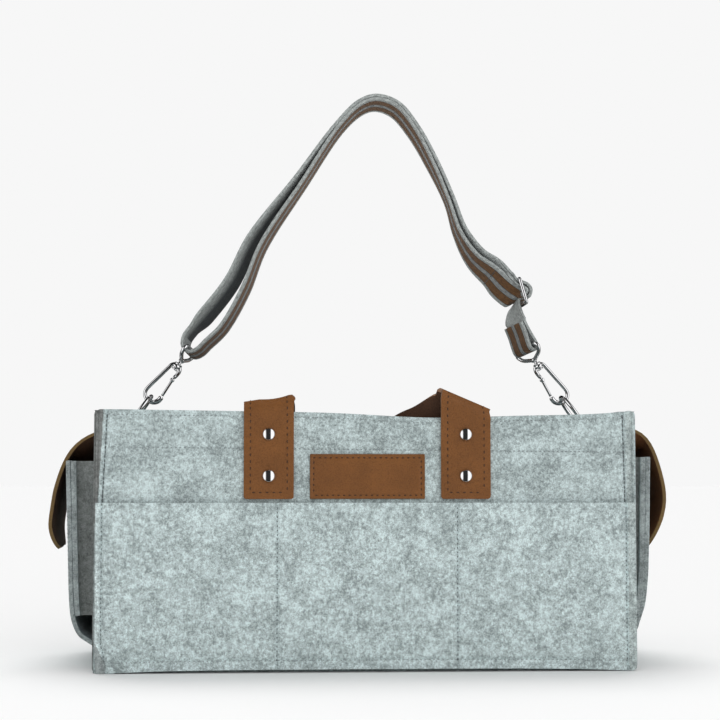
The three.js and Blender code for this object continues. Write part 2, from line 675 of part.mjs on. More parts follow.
// The hook hangs down the -Z axis from its swivel; its gate is on the +X side.
function hookBody() {
  const bowl = HOOK_BOW - HOOK_LENGTH;
  const arm = HOOK_SHOULDER;
  const outline = [
    [arm - 0.3, -(GATE_PIVOT - 2.4)], [arm, -7.5], [arm - 0.3, -5], [arm - 1.4, -3.1], [1.4, -2.3],
    [-1.4, -2.3], [1.4 - arm, -3.1], [0.3 - arm, -5], [-arm, -7.5], [-arm - 0.8, -16],
    ...arc(0, bowl, HOOK_BOW, 175, 380, 16),
  ];
  const points = outline.map(([x, z]) => new THREE.Vector3(x, 0, z));
  const yAxis = new THREE.Vector3(0, 1, 0);
  let body = toSolid(wire(points, yAxis, HOOK_WIRE));
  body = body.add(toSolid(bar(COLLAR_RADIUS, -COLLAR_TOP - COLLAR_LENGTH, -COLLAR_TOP)));
  body = body.subtract(toSolid(bar(STUD / 2 + RUNNING_GAP, -COLLAR_TOP - COLLAR_LENGTH - 1, 1)));
  const cheekHeight = 6;
  const cheekWidth = HOOK_WIRE;
  const cheekInside = GATE_WIRE / 2 + RUNNING_GAP;
  for (const sign of [-1, 1]) {
    const cheek = new THREE.BoxGeometry(cheekWidth, CHEEK, cheekHeight);
    cheek.translate(arm - 0.3, sign * (cheekInside + CHEEK / 2), -(GATE_PIVOT - 1.2));
    body = body.add(toSolid(cheek));
  }
  return toGeometry(body.subtract(toSolid(gatePinBar(GATE_PIN / 2 + RUNNING_GAP, GATE_PIN_LENGTH + 2))));
}

function gatePinBar(radius, length) {
  const pin = new THREE.CylinderGeometry(radius, radius, length, 10);
  pin.translate(HOOK_SHOULDER - 0.3, 0, -GATE_PIVOT);
  return pin;
}

function hookGate() {
  const top = [HOOK_SHOULDER - 0.3, 1.1 - GATE_PIVOT];
  const noseAngle = THREE.MathUtils.degToRad(20);
  const nose = HOOK_BOW - HOOK_LENGTH + HOOK_BOW * Math.sin(noseAngle);
  const tip = [HOOK_BOW * Math.cos(noseAngle), nose + 2 * RUNNING_GAP];
  const points = [top, tip].map(([x, z]) => new THREE.Vector3(x, 0, z));
  const bodyOfGate = toSolid(wire(points, new THREE.Vector3(0, 1, 0), GATE_WIRE));
  return toGeometry(bodyOfGate.subtract(toSolid(gatePinBar(GATE_PIN / 2 + RUNNING_GAP, GATE_PIN_LENGTH))));
}

// A wire eye for the webbing on a headed stud that turns in the hook's collar.
function swivelEye() {
  const half = STRAP_WIDTH / 2 + STRAP_SIDE_PLAY + HOOK_WIRE / 2;
  const corner = 3;
  const yoke = 3.2;
  const outline = [
    ...arc(half - corner, EYE_REACH - corner, corner, 0, 90, 3),
    ...arc(corner - half, EYE_REACH - corner, corner, 90, 180, 3),
    [-half * 0.8, EYE_REACH - corner - 3.6], [-4.5, yoke + 0.7], [-2, yoke],
    [2, yoke], [4.5, yoke + 0.7], [half * 0.8, EYE_REACH - corner - 3.6],
  ];
  const points = outline.map(([y, z]) => new THREE.Vector3(0, y, z));
  const headTop = -COLLAR_TOP - COLLAR_LENGTH - STUD_PLAY;
  return toGeometry(toSolid(wire(points, new THREE.Vector3(1, 0, 0), HOOK_WIRE, true))
    .add(toSolid(bar(STUD / 2, headTop - STUD_HEAD_LENGTH / 2, yoke, 12)))
    .add(toSolid(bar(STUD_HEAD / 2, headTop - STUD_HEAD_LENGTH, headTop, 12))));
}

function hook(side) {
  const isLeft = side === 'left';
  const lean = isLeft ? HOOK_LEAN_LEFT : -HOOK_LEAN_RIGHT;
  const group = new THREE.Group();
  group.position.copy(swivelPlace(side));
  group.rotation.y = THREE.MathUtils.degToRad(lean);
  const eye = piece(`${side}_swivel_eye`, swivelEye(), chrome());
  eye.rotation.z = isLeft ? 0 : THREE.MathUtils.degToRad(EYE_TWIST_RIGHT);
  const clasp = new THREE.Group();
  clasp.rotation.z = isLeft ? 0 : Math.PI;
  clasp.add(piece(`${side}_hook_body`, hookBody(), chrome()));
  clasp.add(piece(`${side}_hook_gate`, hookGate(), chrome()));
  clasp.add(piece(`${side}_gate_pin`, gatePinBar(GATE_PIN / 2, GATE_PIN_LENGTH), chrome()));
  group.add(eye, clasp);
  return group;
}

// Shoulder strap

function frameAt(position, rotation) {
  return new THREE.Matrix4().compose(
    position,
    new THREE.Quaternion().setFromEuler(rotation),
    new THREE.Vector3(1, 1, 1),
  );
}

// The slider stands above the right hook; X runs through it, Y along its bars.
const SLIDER_EULER = new THREE.Euler(
  0,
  -THREE.MathUtils.degToRad(SLIDER_TILT),
  THREE.MathUtils.degToRad(SLIDER_TURN),
  'ZYX',
);

function sliderPlace() {
  return swivelPlace('right').add(new THREE.Vector3(-SLIDER_INSET, 0, SLIDER_RISE));
}

function sliderFrame() {
  const halfBar = STRAP_WIDTH / 2 + STRAP_SIDE_PLAY;
  const halfWidth = halfBar + SLIDER_BAR;
  const slotNear = SLIDER_BAR / 2;
  const slotFar = SLIDER_HEIGHT / 2 - SLIDER_BAR;
  const outline = roundedShape(2 * halfWidth, -SLIDER_HEIGHT / 2, SLIDER_HEIGHT / 2, 2);
  for (const sign of [-1, 1]) {
    const [low, high] = [sign * slotNear, sign * slotFar].sort((p, q) => p - q);
    outline.holes.push(new THREE.Path([
      new THREE.Vector2(-halfBar, low), new THREE.Vector2(-halfBar, high),
      new THREE.Vector2(halfBar, high), new THREE.Vector2(halfBar, low),
    ]));
  }
  const plate = standing(outline, SLIDER_BAR, SLIDER_BAR / 2, 3);
  plate.rotateZ(Math.PI / 2);
  return plate;
}

// Stations of the webbing given as points of a frame's XZ plane, its width along the frame's Y.
function stationsIn(frame, points) {
  const across = new THREE.Vector3(0, 1, 0).transformDirection(frame);
  return points.map(([x, z]) => ({
    point: new THREE.Vector3(x, 0, z).applyMatrix4(frame),
    across: across.clone(),
  }));
}

// The arch that both layers follow: points from each swivel and from the top, with half the
// distance between the layers and the turn of the webbing's inner face to the front, in degrees.
function archStations() {
  const left = swivelPlace('left');
  const right = swivelPlace('right');
  const top = new THREE.Vector3(STRAP_TOP_OFFSET, 0, BODY_HEIGHT + STRAP_TOP);
  const route = [
    [left, 26.5, 0, 31.4, 8.3, 6], [left, 44.7, 0, 59.2, 6, 6], [left, 59.7, 0, 92.9, 4.5, 6],
    [left, 92.2, 0, 140.2, 2.1, 6], [top, -28, 0, -19.4, 2, 5], [top, -12, 0, -3.9, 1.9, 4],
    [top, 0, 0, 0, 1.9, 4], [top, 15, 0, -4.9, 1.9, 4], [top, 29.5, 0, -21.9, 1.9, 5],
    [right, -81.3, 0, 154.5, 1.9, 7], [right, -71.3, 0, 125.5, 1.9, 9], [right, -61.3, -1, 101.5, 2, 13],
    [right, -48.3, -4, 81.5, 2, 20],
  ];
  const points = route.map(([from, x, y, z]) => from.clone().add(new THREE.Vector3(x, y, z)));
  return route.map(([, , , , half, turn], i) => {
    const along = points[Math.min(i + 1, points.length - 1)].clone().sub(points[Math.max(i - 1, 0)]);
    const inward = new THREE.Vector3(along.z, 0, -along.x).normalize();
    const angle = THREE.MathUtils.degToRad(turn);
    const across = new THREE.Vector3(0, Math.cos(angle), 0).addScaledVector(inward, Math.sin(angle));
    return { middle: points[i], inward, half, across };
  });
}

// One length of webbing: from its sewn end round the slider's middle bar, over the arch, through
// the left eye, back over the arch, through the slider and round the right eye.
function shoulderStrap() {
  const eyeTurn = HOOK_WIRE / 2 + SEAM_GAP + STRAP_WEBBING / 2;
  const eyeBottom = EYE_REACH - eyeTurn;
  const slider = frameAt(sliderPlace(), SLIDER_EULER);
  const leftEye = frameAt(
    swivelPlace('left'),
    new THREE.Euler(0, THREE.MathUtils.degToRad(HOOK_LEAN_LEFT), 0),
  );
  const rightEye = frameAt(swivelPlace('right'), new THREE.Euler(
    0,
    -THREE.MathUtils.degToRad(HOOK_LEAN_RIGHT),
    THREE.MathUtils.degToRad(EYE_TWIST_RIGHT),
    'YZX',
  ));
  const arch = archStations();
  const layer = (side) => arch.map((s) => ({
    point: s.middle.clone().addScaledVector(s.inward, side * s.half),
    across: s.across,
  }));
  const barTurn = SLIDER_BAR * 0.75 + RUNNING_GAP + STRAP_WEBBING / 2;
  const stations = [
    ...stationsIn(slider, [
      [-16.9, 8.2], [-12.3, 4.4], [-7.5, 0.2], [-3.4, -2.4], [0.6, -barTurn], [barTurn, 0],
      [0.6, barTurn], [-4.2, 4.1], [-10.5, 7.5], [-19.5, 14.8],
    ]),
    ...layer(1).reverse(),
    ...stationsIn(leftEye, [
      [7.2, 25], [6.4, 17], [3.6, eyeBottom + 1.2], [0, eyeBottom], [-4.4, eyeBottom + 1.6],
      [-8.2, 18], [-9, 26],
    ]),
    ...layer(-1),
    ...stationsIn(slider, [
      [-17, 18.6], [-9, 11.8], [-3, 7.6], [2.4, 5.6], [6.2, 0.6], [3.4, -5], [-3, -6.4], [-8, -9],
      [-12.2, -14],
    ]),
    ...stationsIn(rightEye, [
      [0.9, 34], [4.2, 24], [4, eyeBottom + 5], [3.1, eyeBottom + 1.2], [0, eyeBottom - 0.4],
      [-3.1, eyeBottom + 1.2], [-4, eyeBottom + 5], [-4.2, 24], [-3.4, 29.5],
    ]),
  ];
  return band(stations, STRAP_WIDTH, STRAP_WEBBING, 2);
}

function strap() {
  const group = new THREE.Group();
  group.add(piece('shoulder_strap', shoulderStrap(), webbing()));
  const slider = piece('strap_slider', sliderFrame(), chrome());
  slider.position.copy(sliderPlace());
  slider.rotation.copy(SLIDER_EULER);
  group.add(slider, hook('left'), hook('right'));
  return group;
}

const caddy = new THREE.Group();
caddy.add(floorAndDividers(), longSide('front'), longSide('back'), labelPatch());
caddy.add(shortSide('left'), shortSide('right'), strap());

export default caddy;
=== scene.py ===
# %% [markdown]
# A nursery caddy in felt, leather and webbing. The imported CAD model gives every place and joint.
# This script dresses it: each soft solid is replaced by a sheet with real thickness, and each wire
# by a smooth round one. All numbers are metres in the CAD frame, with +Z up and the front towards
# -Y. mm() and pairs() turn millimetres into metres.

# %% Load the frame
import math
from bisect import bisect_right
import bpy
from mathutils import Euler, Matrix, Vector, noise


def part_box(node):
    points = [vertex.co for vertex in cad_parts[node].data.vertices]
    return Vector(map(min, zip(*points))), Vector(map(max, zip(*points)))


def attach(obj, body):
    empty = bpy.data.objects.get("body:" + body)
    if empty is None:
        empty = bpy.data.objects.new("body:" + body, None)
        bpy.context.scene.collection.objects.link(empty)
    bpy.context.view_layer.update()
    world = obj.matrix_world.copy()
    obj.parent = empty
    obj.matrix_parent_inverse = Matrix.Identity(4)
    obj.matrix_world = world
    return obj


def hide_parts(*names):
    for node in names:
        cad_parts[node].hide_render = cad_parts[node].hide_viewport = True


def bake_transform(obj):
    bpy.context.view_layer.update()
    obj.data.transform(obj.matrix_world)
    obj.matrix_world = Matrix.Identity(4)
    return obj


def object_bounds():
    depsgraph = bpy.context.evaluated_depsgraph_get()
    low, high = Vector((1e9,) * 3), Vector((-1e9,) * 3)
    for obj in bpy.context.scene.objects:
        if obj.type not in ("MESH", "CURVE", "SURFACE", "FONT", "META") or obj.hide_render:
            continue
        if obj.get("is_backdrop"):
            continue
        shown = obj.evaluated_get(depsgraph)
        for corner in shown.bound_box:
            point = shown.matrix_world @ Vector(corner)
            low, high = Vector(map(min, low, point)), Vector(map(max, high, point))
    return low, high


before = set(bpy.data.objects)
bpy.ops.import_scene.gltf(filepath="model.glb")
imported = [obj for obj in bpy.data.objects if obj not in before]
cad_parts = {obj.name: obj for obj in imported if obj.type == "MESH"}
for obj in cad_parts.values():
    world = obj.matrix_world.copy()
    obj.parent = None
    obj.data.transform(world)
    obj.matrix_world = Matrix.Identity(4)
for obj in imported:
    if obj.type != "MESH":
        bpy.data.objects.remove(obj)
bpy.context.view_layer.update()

MM = 0.001


def mm(*values):
    return [v * MM for v in values]


def pairs(*values):
    return [(a * MM, b * MM) for a, b in values]


def between(low, high, count):
    """Evenly spaced numbers from low to high, both included."""
    return [low + (high - low) * k / count for k in range(count + 1)]


# %% [markdown]
# Felt is pressed wool: no weave, only short fibres that lie every way. Seen close it is a mottle
# of pale and grey patches of every size, with single dark and pale fibres on top. One noise with
# many octaves makes the mottle, and three stretched noises make the fibres. Object coordinates are
# metres here, because every piece is built in place, so the scale is the same on all panels.
# Walls and lips use darker and lighter copies of the felt, as painted shade and painted light.
# Cut edges are darker, partly their own tone and partly painted shade, and the gussets are lined
# with a dark felt that is darkened further as painted shade.

# %% Felt material
class Graph:
    """The nodes of a material or of the sky, with short ways to add more."""

    def __init__(self, owner):
        owner.use_nodes = True
        self.owner, self.nodes, self.links = owner, owner.node_tree.nodes, owner.node_tree.links

    def feed(self, node, inputs):
        """Set each input to a number, a colour or the output of another node."""
        for name, value in inputs.items():
            socket = node.inputs[name]
            if isinstance(value, bpy.types.NodeSocket):
                self.links.new(value, socket)
            else:
                socket.default_value = (*value, 1.0) if socket.type == "RGBA" else value
        return node

    def add(self, kind, inputs):
        return self.feed(self.nodes.new("ShaderNode" + kind), inputs)

    def place(self, kind="Object"):
        return self.add("TexCoord", {}).outputs[kind]

    def noise(self, place, scale, detail, rough, stretch=None, turn=(0, 0, 0)):
        if stretch:
            mapping = self.add("Mapping", {})
            mapping.vector_type = "TEXTURE"
            self.feed(mapping, {"Vector": place, "Scale": stretch, "Rotation": turn})
            place = mapping.outputs["Vector"]
        return self.add("TexNoise", {"Vector": place, "Scale": scale, "Detail": detail,
                                     "Roughness": rough}).outputs["Fac"]

    def ramp(self, value, *stops):
        ramp = self.add("ValToRGB", {"Fac": value})
        elements = ramp.color_ramp.elements
        while len(elements) < len(stops):
            elements.new(0.5)
        for element, (position, color) in zip(elements, stops):
            element.position = position
            element.color = (*color, 1.0)
        return ramp.outputs["Color"]

    def mix(self, kind, factor, a, b):
        mix = self.add("Mix", {})
        mix.data_type = "RGBA"
        mix.blend_type = kind
        return self.feed(mix, {0: factor, 6: a, 7: b}).outputs[2]

    def calc(self, operation, *values):
        node = self.add("Math", {})
        node.operation = operation
        return self.feed(node, dict(enumerate(values))).outputs[0]

    def shade(self, inputs):
        self.feed(self.nodes["Principled BSDF"], inputs)

    def bump(self, height, strength, distance):
        bump = self.add("Bump", {"Height": height, "Strength": strength, "Distance": distance})
        self.shade({"Normal": bump.outputs["Normal"]})


def material_graph(name):
    return Graph(bpy.data.materials.new(name))


def grey(v):
    return (v, v, v)


def toned(color, factor):
    return tuple(factor * c for c in color)


FIBRE_TURNS = ((0.3, 0.35, 0.5), (0.6, 1.45, -0.4), (-0.5, 2.5, 0.3))


def felt_material(name, tone, contrast=1.0):
    graph = material_graph(name)
    place = graph.place()
    patches = graph.noise(place, scale=42, detail=9, rough=0.93)
    grains = graph.noise(place, scale=330, detail=3, rough=0.95)
    mottle = graph.mix("MIX", 0.42, patches, grains)
    reach = 0.073 / contrast
    color = graph.ramp(mottle, (0.5 - reach, toned(tone, 0.52)), (0.5, tone),
                       (0.5 + reach, toned(tone, 1.52)))
    fibres = [graph.noise(place, scale=1500, detail=1.5, rough=0.5, stretch=(5, 1, 1), turn=turn)
              for turn in FIBRE_TURNS]
    for fibre in fibres:
        dark = graph.ramp(fibre, (0.62, grey(0)), (0.74, grey(0.6 * contrast)))
        color = graph.mix("MIX", dark, color, toned(tone, 0.42))
    for fibre in fibres[:2]:
        pale = graph.ramp(fibre, (0.27, grey(0.45 * contrast)), (0.37, grey(0)))
        color = graph.mix("MIX", pale, color, toned(tone, 1.5))
    graph.shade({"Base Color": color, "Roughness": 0.95, "Sheen Weight": 0.12,
                 "Sheen Roughness": 0.5, "Specular IOR Level": 0.1})
    graph.bump(graph.mix("ADD", 0.6, fibres[0], mottle), strength=0.3, distance=0.8 * MM)
    return graph.owner


felt = felt_material("felt", (0.474, 0.556, 0.558))
# Painted shade: the walls take a darker copy of the felt, as the upper body lies in more shade than
# the pockets.
felt_wall_shaded = felt_material("felt_wall_shaded", (0.432, 0.507, 0.509))
# Painted light and painted shade: lighter and darker copies of the felt for the lips.
felt_lit = felt_material("felt_lit_lip", (0.560, 0.650, 0.652))
felt_dim = felt_material("felt_dim_lip", (0.385, 0.445, 0.440))
# Cut edges take a darker felt: partly the tone of the cut face, partly painted shade.
felt_cut_and_shade = felt_material("felt_cut_edge_and_shade", (0.300, 0.335, 0.335), 0.8)
# The lining is a dark felt, made darker still as painted shade for the deep channel.
felt_lining_and_shade = felt_material("felt_lining_and_shade", (0.125, 0.150, 0.160), 0.6)
# Painted shade: a dark felt laid on lips and strips that turn away from the light.
felt_shade = felt_material("felt_painted_shade", (0.205, 0.216, 0.210), 0.7)
# Thickening adds 1 to a face's index on the back of a sheet and 2 on its rim.
FELTS = [felt, felt, felt_cut_and_shade, felt_lining_and_shade, felt_shade, felt_shade, felt_shade,
         felt_lit, felt_lit, felt_cut_and_shade, felt_dim, felt_dim, felt_cut_and_shade]
CUT_AND_SHADE, LINED_AND_SHADED, SHADED, LIT, DIM = 2, 3, 4, 7, 10
WALL_FELTS = [felt_wall_shaded, felt_wall_shaded] + FELTS[2:]
print("felt made of", len(felt.node_tree.nodes), "nodes")

# %% [markdown]
# A felt wall is a thick sheet with raw, slightly rounded edges. Blender makes it well from a grid
# of points on the outer face: Solidify gives the thickness and Bevel rounds the cut edges. The
# grid is closer near the seams, where thread pulls the felt in, so that the dip is real geometry.
# Most pieces are worked out for the front or the right end; the back and the left end are those
# turned half round.

# %% Sheet helpers
FELT, GAP, SOFT_EDGE, COARSE = mm(3.5, 0.3, 0.7, 6)


def as_is(x, y, z):
    return Vector((x, y, z))


def half_turn(x, y, z):
    return Vector((-x, -y, z))


FACES = {"front": as_is, "back": half_turn}
SIDES = {"left": half_turn, "right": as_is}


def show(name, data):
    obj = bpy.data.objects.new(name, data)
    bpy.context.scene.collection.objects.link(obj)
    return obj


def add_mesh(name, points, faces, materials, body=None):
    mesh = bpy.data.meshes.new(name)
    mesh.from_pydata([tuple(p) for p in points], [], faces)
    for material in materials:
        mesh.materials.append(material)
    for polygon in mesh.polygons:
        polygon.use_smooth = True
    obj = show(name, mesh)
    if body:
        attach(obj, body)
    return obj


def spread(low, high, step, seams=(), reach=5 * MM, fine=0.9 * MM):
    """Positions from low to high, closer together round the seams."""
    places = {low, high}
    count = max(1, round((high - low) / step))
    places.update(low + (high - low) * i / count for i in range(1, count))
    for seam in seams:
        steps = round(reach / fine)
        places.update(seam + fine * k for k in range(-steps, steps + 1))
    kept = []
    for place in sorted(p for p in places if low <= p <= high):
        if not kept or place - kept[-1] > 0.4 * fine:
            kept.append(place)
    kept[-1] = high
    return kept


def eased(low, high, count):
    """Numbers from low to high that crowd together towards -1 and 1."""
    return [math.sin(math.pi / 2 * t) for t in between(low, high, count)]


def grid_faces(columns, rows):
    return [(j * columns + i, j * columns + i + 1,
             (j + 1) * columns + i + 1, (j + 1) * columns + i)
            for j in range(rows - 1) for i in range(columns - 1)]


def skin(rings, sides, start=0, is_loop=False, is_flipped=False):
    """Faces over rings of points; where they aren't a loop, both ends get a cap."""
    faces = []
    for i in range(rings if is_loop else rings - 1):
        ring, after = start + i * sides, start + (i + 1) % rings * sides
        for k in range(sides):
            n = (k + 1) % sides
            faces.append((ring + k, after + k, after + n, ring + n) if is_flipped
                         else (ring + k, ring + n, after + n, after + k))
    if not is_loop:
        first, last = (tuple(range(base, base + sides))
                       for base in (start, start + (rings - 1) * sides))
        faces += [first, last[::-1]] if is_flipped else [first[::-1], last]
    return faces


def thicken(obj, thickness, offset, edge):
    solid = obj.modifiers.new("thickness", "SOLIDIFY")
    solid.thickness = thickness
    solid.offset = offset
    solid.material_offset = 1
    solid.material_offset_rim = 2
    bevel = obj.modifiers.new("soft edge", "BEVEL")
    bevel.width = edge
    bevel.segments = 3
    bevel.limit_method = "ANGLE"
    bevel.angle_limit = math.radians(50)


def sheet(name, columns, rows, place, thickness=FELT, materials=FELTS, body="caddy",
          offset=-1.0, edge=SOFT_EDGE):
    """A sheet with its points at place(u, v); u to the right and v up, seen from outside."""
    points = [place(u, v) for v in rows for u in columns]
    obj = add_mesh(name, points, grid_faces(len(columns), len(rows)), materials, body)
    thicken(obj, thickness, offset, edge)
    return obj


def paint(obj, index, test):
    """Give another material to the faces whose middle passes the test."""
    for polygon in obj.data.polygons:
        if test(polygon.center):
            polygon.material_index = index


def dip(distance, depth, width):
    """A hollow with soft sides, as a seam pulls it into felt."""
    return depth * math.exp(-(distance / width) ** 2)


def ripple(u, v, height, size):
    """A slow, repeatable unevenness, as felt has that was folded and shipped."""
    return height * noise.noise(Vector((u / size, v / size, 3.7)))


def corner_drop(into, radius):
    """How far a rounded edge has turned away, at a distance into its corner."""
    return radius - math.sqrt(radius ** 2 - min(max(0.0, into), radius) ** 2)


def runs_along(points):
    """The distance of each point from the first one, along the line through all."""
    runs = [0.0]
    for a, b in zip(points, points[1:]):
        runs.append(runs[-1] + (b - a).length)
    return runs


# %% [markdown]
# Threads are short rounded stitches that sink at both ends. A row of them is one mesh: each stitch
# is a small spindle laid along the seam, half buried in the felt or leather.

# %% Thread material and stitch helper
FELT_PITCH, LEATHER_PITCH, PATCH_PITCH, WEB_PITCH, WEB_STITCH = mm(3.1, 4.7, 3.9, 1.7, 1.5)
FINE_THREAD, SEAM_THREAD, BOLD_THREAD, STRIP_THREAD = mm(0.32, 0.38, 0.4, 0.42)
STITCH_SIDES = 6
SPINDLE = [(-1, 0.05), (-0.72, 0.72), (0, 1.0), (0.72, 0.72), (1, 0.05)]


def thread_material(name, color):
    graph = material_graph(name)
    twist = graph.noise(graph.place(), scale=2600, detail=2, rough=0.5)
    graph.shade({"Base Color": graph.ramp(twist, (0.35, toned(color, 0.55)), (0.65, color)),
                 "Roughness": 0.8})
    graph.bump(twist, strength=0.4, distance=0.3 * MM)
    return graph.owner


grey_thread = thread_material("grey_thread", (0.33, 0.37, 0.375))
dark_thread = thread_material("dark_thread", (0.13, 0.145, 0.15))
brown_thread = thread_material("brown_thread", (0.090, 0.040, 0.017))


def along_path(path, pitch):
    """(point, normal, direction) at even steps along a path of (point, normal)."""
    places = []
    carried = pitch / 2
    for (a, normal_a), (b, normal_b) in zip(path, path[1:]):
        length = (b - a).length
        while carried <= length and length > 0:
            t = carried / length
            normal = normal_a.lerp(normal_b, t).normalized()
            places.append((a.lerp(b, t), normal, (b - a).normalized()))
            carried += pitch
        carried -= length
    return places


def stitches(name, paths, pitch, material, body="caddy", length=None,
             radius=FINE_THREAD):
    length = length or 0.55 * pitch
    points, faces = [], []
    turns = [2 * math.pi * k / STITCH_SIDES for k in range(STITCH_SIDES)]
    places = [place for path in paths for place in along_path(path, pitch)]
    for center, normal, along in places:
        across = along.cross(normal).normalized()
        faces += skin(len(SPINDLE), STITCH_SIDES, len(points))
        for t, width in SPINDLE:
            middle = center + along * (t * length / 2) - normal * (radius * (0.9 * t * t - 0.2))
            size = radius * width
            points += [middle + across * (math.cos(turn) * size * 1.25)
                       + normal * (math.sin(turn) * size) for turn in turns]
    print(name, len(places), "stitches")
    return add_mesh(name, points, faces, [material], body)


# %% [markdown]
# Front and back walls. Their rims sag a little between the stiff corners, and the corners are
# rounded. A strip of thinner felt faces the rim inside; its lower edge shows outside as a row of
# stitches. The walls take the darker copy of the felt as painted shade. Past the end seams the
# felt is a raw lip, which rolls back; the right lip is painted darker and the left outer layer
# dark, both as painted shade.

# %% Front and back walls
HALF_WIDTH, HALF_DEPTH, HEIGHT, POCKET_TOP_Z = mm(190, 115, 183, 118)
SEAM_X, LAYER_X, LAYER_SLANT, HEM_Z, RIM_STITCH = mm(184, 188.4, 3.6, 155.3, 3.6)
LEFT_SEAM, RIGHT_SEAM = mm(185.4, 182.2), mm(183.2, 181.8)
LIP_START = SEAM_X + 0.5 * MM
LEFT_ROLL, RIGHT_ROLL, ROLL_POWER, WALL_ROLL = 0.2, 0.35, 2.4, 3 * MM
RIM_RISE, RIM_SAG, RIM_HOLLOW, RIM_CORNER, FACING = mm(0.4, 2.2, 2.8, 3, 2)
HOLLOW_AT, HOLLOW_WIDTH = 0.24, 0.27
FOOT_LIFT, FOOT_TALL, FOOT_CORNER, FOOT_TURN = mm(2.4, 25, 5, 4)
SEAM_DIP, HEM_DIP, RIM_DIP, LAYER_DIP = mm(1.5, 0.8), mm(0.7, 1.1), mm(0.6, 1.1), mm(1.1, 0.5)
DEEPEST, HEM_SLOPE, THREAD_SINK, SEAM_SINK = 1.6 * MM, 0.009, 0.5 * MM, 1.2 * MM
END_REACH, END_FINE, ROW_FINE = mm(7, 0.5, 0.7)


def rim(x):
    """Height of the rim, which sags towards the right, and most a little right of the middle."""
    u = x / HALF_WIDTH
    sag = RIM_SAG * (1 + u) * (1 - u ** 6) + dip(u - HOLLOW_AT, RIM_HOLLOW, HOLLOW_WIDTH)
    return HEIGHT + RIM_RISE - sag


def rounded_rim(x):
    return rim(x) - corner_drop(RIM_CORNER - (HALF_WIDTH - abs(x)), RIM_CORNER)


def hem_height(x):
    return HEM_Z - HEM_SLOPE * x


def above_pocket(z):
    return (z - POCKET_TOP_Z) / (HEIGHT - POCKET_TOP_Z)


def seam_at(x, z):
    """Distance of the end seam from the middle; it slants, and lies nearer the end on the left."""
    low, high = LEFT_SEAM if x < 0 else RIGHT_SEAM
    return low + (high - low) * max(0.0, above_pocket(z))


def lip_roll(x, z, depth):
    """How far the outer edge rolls back behind its end seam, more on the right than on the left."""
    seam = seam_at(x, z)
    share = max(0.0, (abs(x) - seam) / (HALF_WIDTH - seam))
    return depth * (RIGHT_ROLL if x > 0 else LEFT_ROLL) * share ** ROLL_POWER


def lift(x, z):
    """The lower edge is clear of the ground between its ends, and rounded at the right one."""
    clear = FOOT_LIFT * (1 - (x / HALF_WIDTH) ** 4)
    clear += corner_drop(x - (HALF_WIDTH - FOOT_TURN), FOOT_CORNER)
    return clear * max(0.0, 1 - z / FOOT_TALL)


def wall_point(x, v):
    z = v * rounded_rim(x)
    pull = (dip(abs(x) - seam_at(x, z), *SEAM_DIP) + dip(z - hem_height(x), *HEM_DIP)
            + dip(rim(x) - RIM_STITCH - z, *RIM_DIP) + dip(abs(x) - LAYER_X, *LAYER_DIP))
    swell = ripple(x, z, 0.36 * MM, 60 * MM) if z > POCKET_TOP_Z else 0.0
    y = -HALF_DEPTH + min(pull, DEEPEST) + lip_roll(x, z, WALL_ROLL) - swell
    return x, y, z + lift(x, z)


for face, put in FACES.items():
    columns = spread(-HALF_WIDTH, HALF_WIDTH, COARSE, (-SEAM_X, SEAM_X), END_REACH, END_FINE)
    rows = spread(0, HEIGHT, COARSE, (HEM_Z, HEIGHT - RIM_STITCH), fine=ROW_FINE)
    # The wall felt is the darker copy: painted shade.
    wall = sheet(f"{face}_wall_felt", columns, [z / HEIGHT for z in rows],
                 lambda x, v: put(*wall_point(x, v)), materials=WALL_FELTS)
    left = put(-1, 0, 0).x
    # Painted shade: the right lip gets the darker felt, and the left outer layer the dark felt.
    paint(wall, DIM, lambda p: left * p.x < -LIP_START)
    paint(wall, SHADED, lambda p: left * p.x > LAYER_X - LAYER_SLANT * above_pocket(p.z))
    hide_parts(f"{face}_wall")

    inner = HALF_DEPTH - FELT - GAP
    low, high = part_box(f"{face}_rim_facing")
    facing = sheet(f"{face}_facing_felt", spread(low[0], high[0], 8 * MM), between(0, 1, 4),
                   lambda x, v: put(-x, FACING - inner,
                                    low[2] + v * (rim(-x) - 0.2 * MM - low[2])),
                   FACING, edge=0.4 * MM)
    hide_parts(f"{face}_rim_facing")

    out = put(0, -1, 0)
    line = between(1.5 * MM - SEAM_X, SEAM_X - 1.5 * MM, 60)
    rows_of_thread = [[(put(x, -HALF_DEPTH + THREAD_SINK, height(x)), out) for x in line]
                      for height in (hem_height, lambda x: rim(x) - RIM_STITCH)]
    stitches(f"{face}_wall_thread", rows_of_thread, FELT_PITCH, grey_thread)
    seams = [[(put(sign * seam_at(sign, z), -HALF_DEPTH + SEAM_SINK, z), out)
              for z in mm(118, 140, 160, 179)] for sign in (-1, 1)]
    stitches(f"{face}_end_thread", seams, FELT_PITCH, dark_thread, length=FELT_PITCH,
             radius=BOLD_THREAD)

# %% [markdown]
# A row of slip pockets is sewn over the lower wall: one felt panel, held at the ends, along the
# bottom and at two upright seams. Between the seams the panel swells a little. At the lower left
# end it is tucked in, and low on the left lip a painted shade darkens it. Low down the left lip
# is painted lighter, as painted light, and the right lip darker, as painted shade.

# %% Slip pockets
PARTING_X, BOTTOM_STITCH, LIT_TOP = mm(63.3, 6.9, 84)
POCKET_FACE = HALF_DEPTH + GAP + FELT
PARTING_DIP, BOTTOM_DIP = mm(1.1, 1.0), mm(0.9, 1.2)
SWELL, SWELL_REACH = mm(0.8, 30)
TUCK, TUCK_TALL, TUCK_OUTSIDE, TUCK_INSIDE = mm(4.5, 20, 7, 30)
POCKET_ROLL, TUCK_ROLL = mm(2, 4)
SHADE_TOP, SHADE_TALL, RAW_EDGE, SHADE_WIDE = mm(22, 16, 0.3, 8)


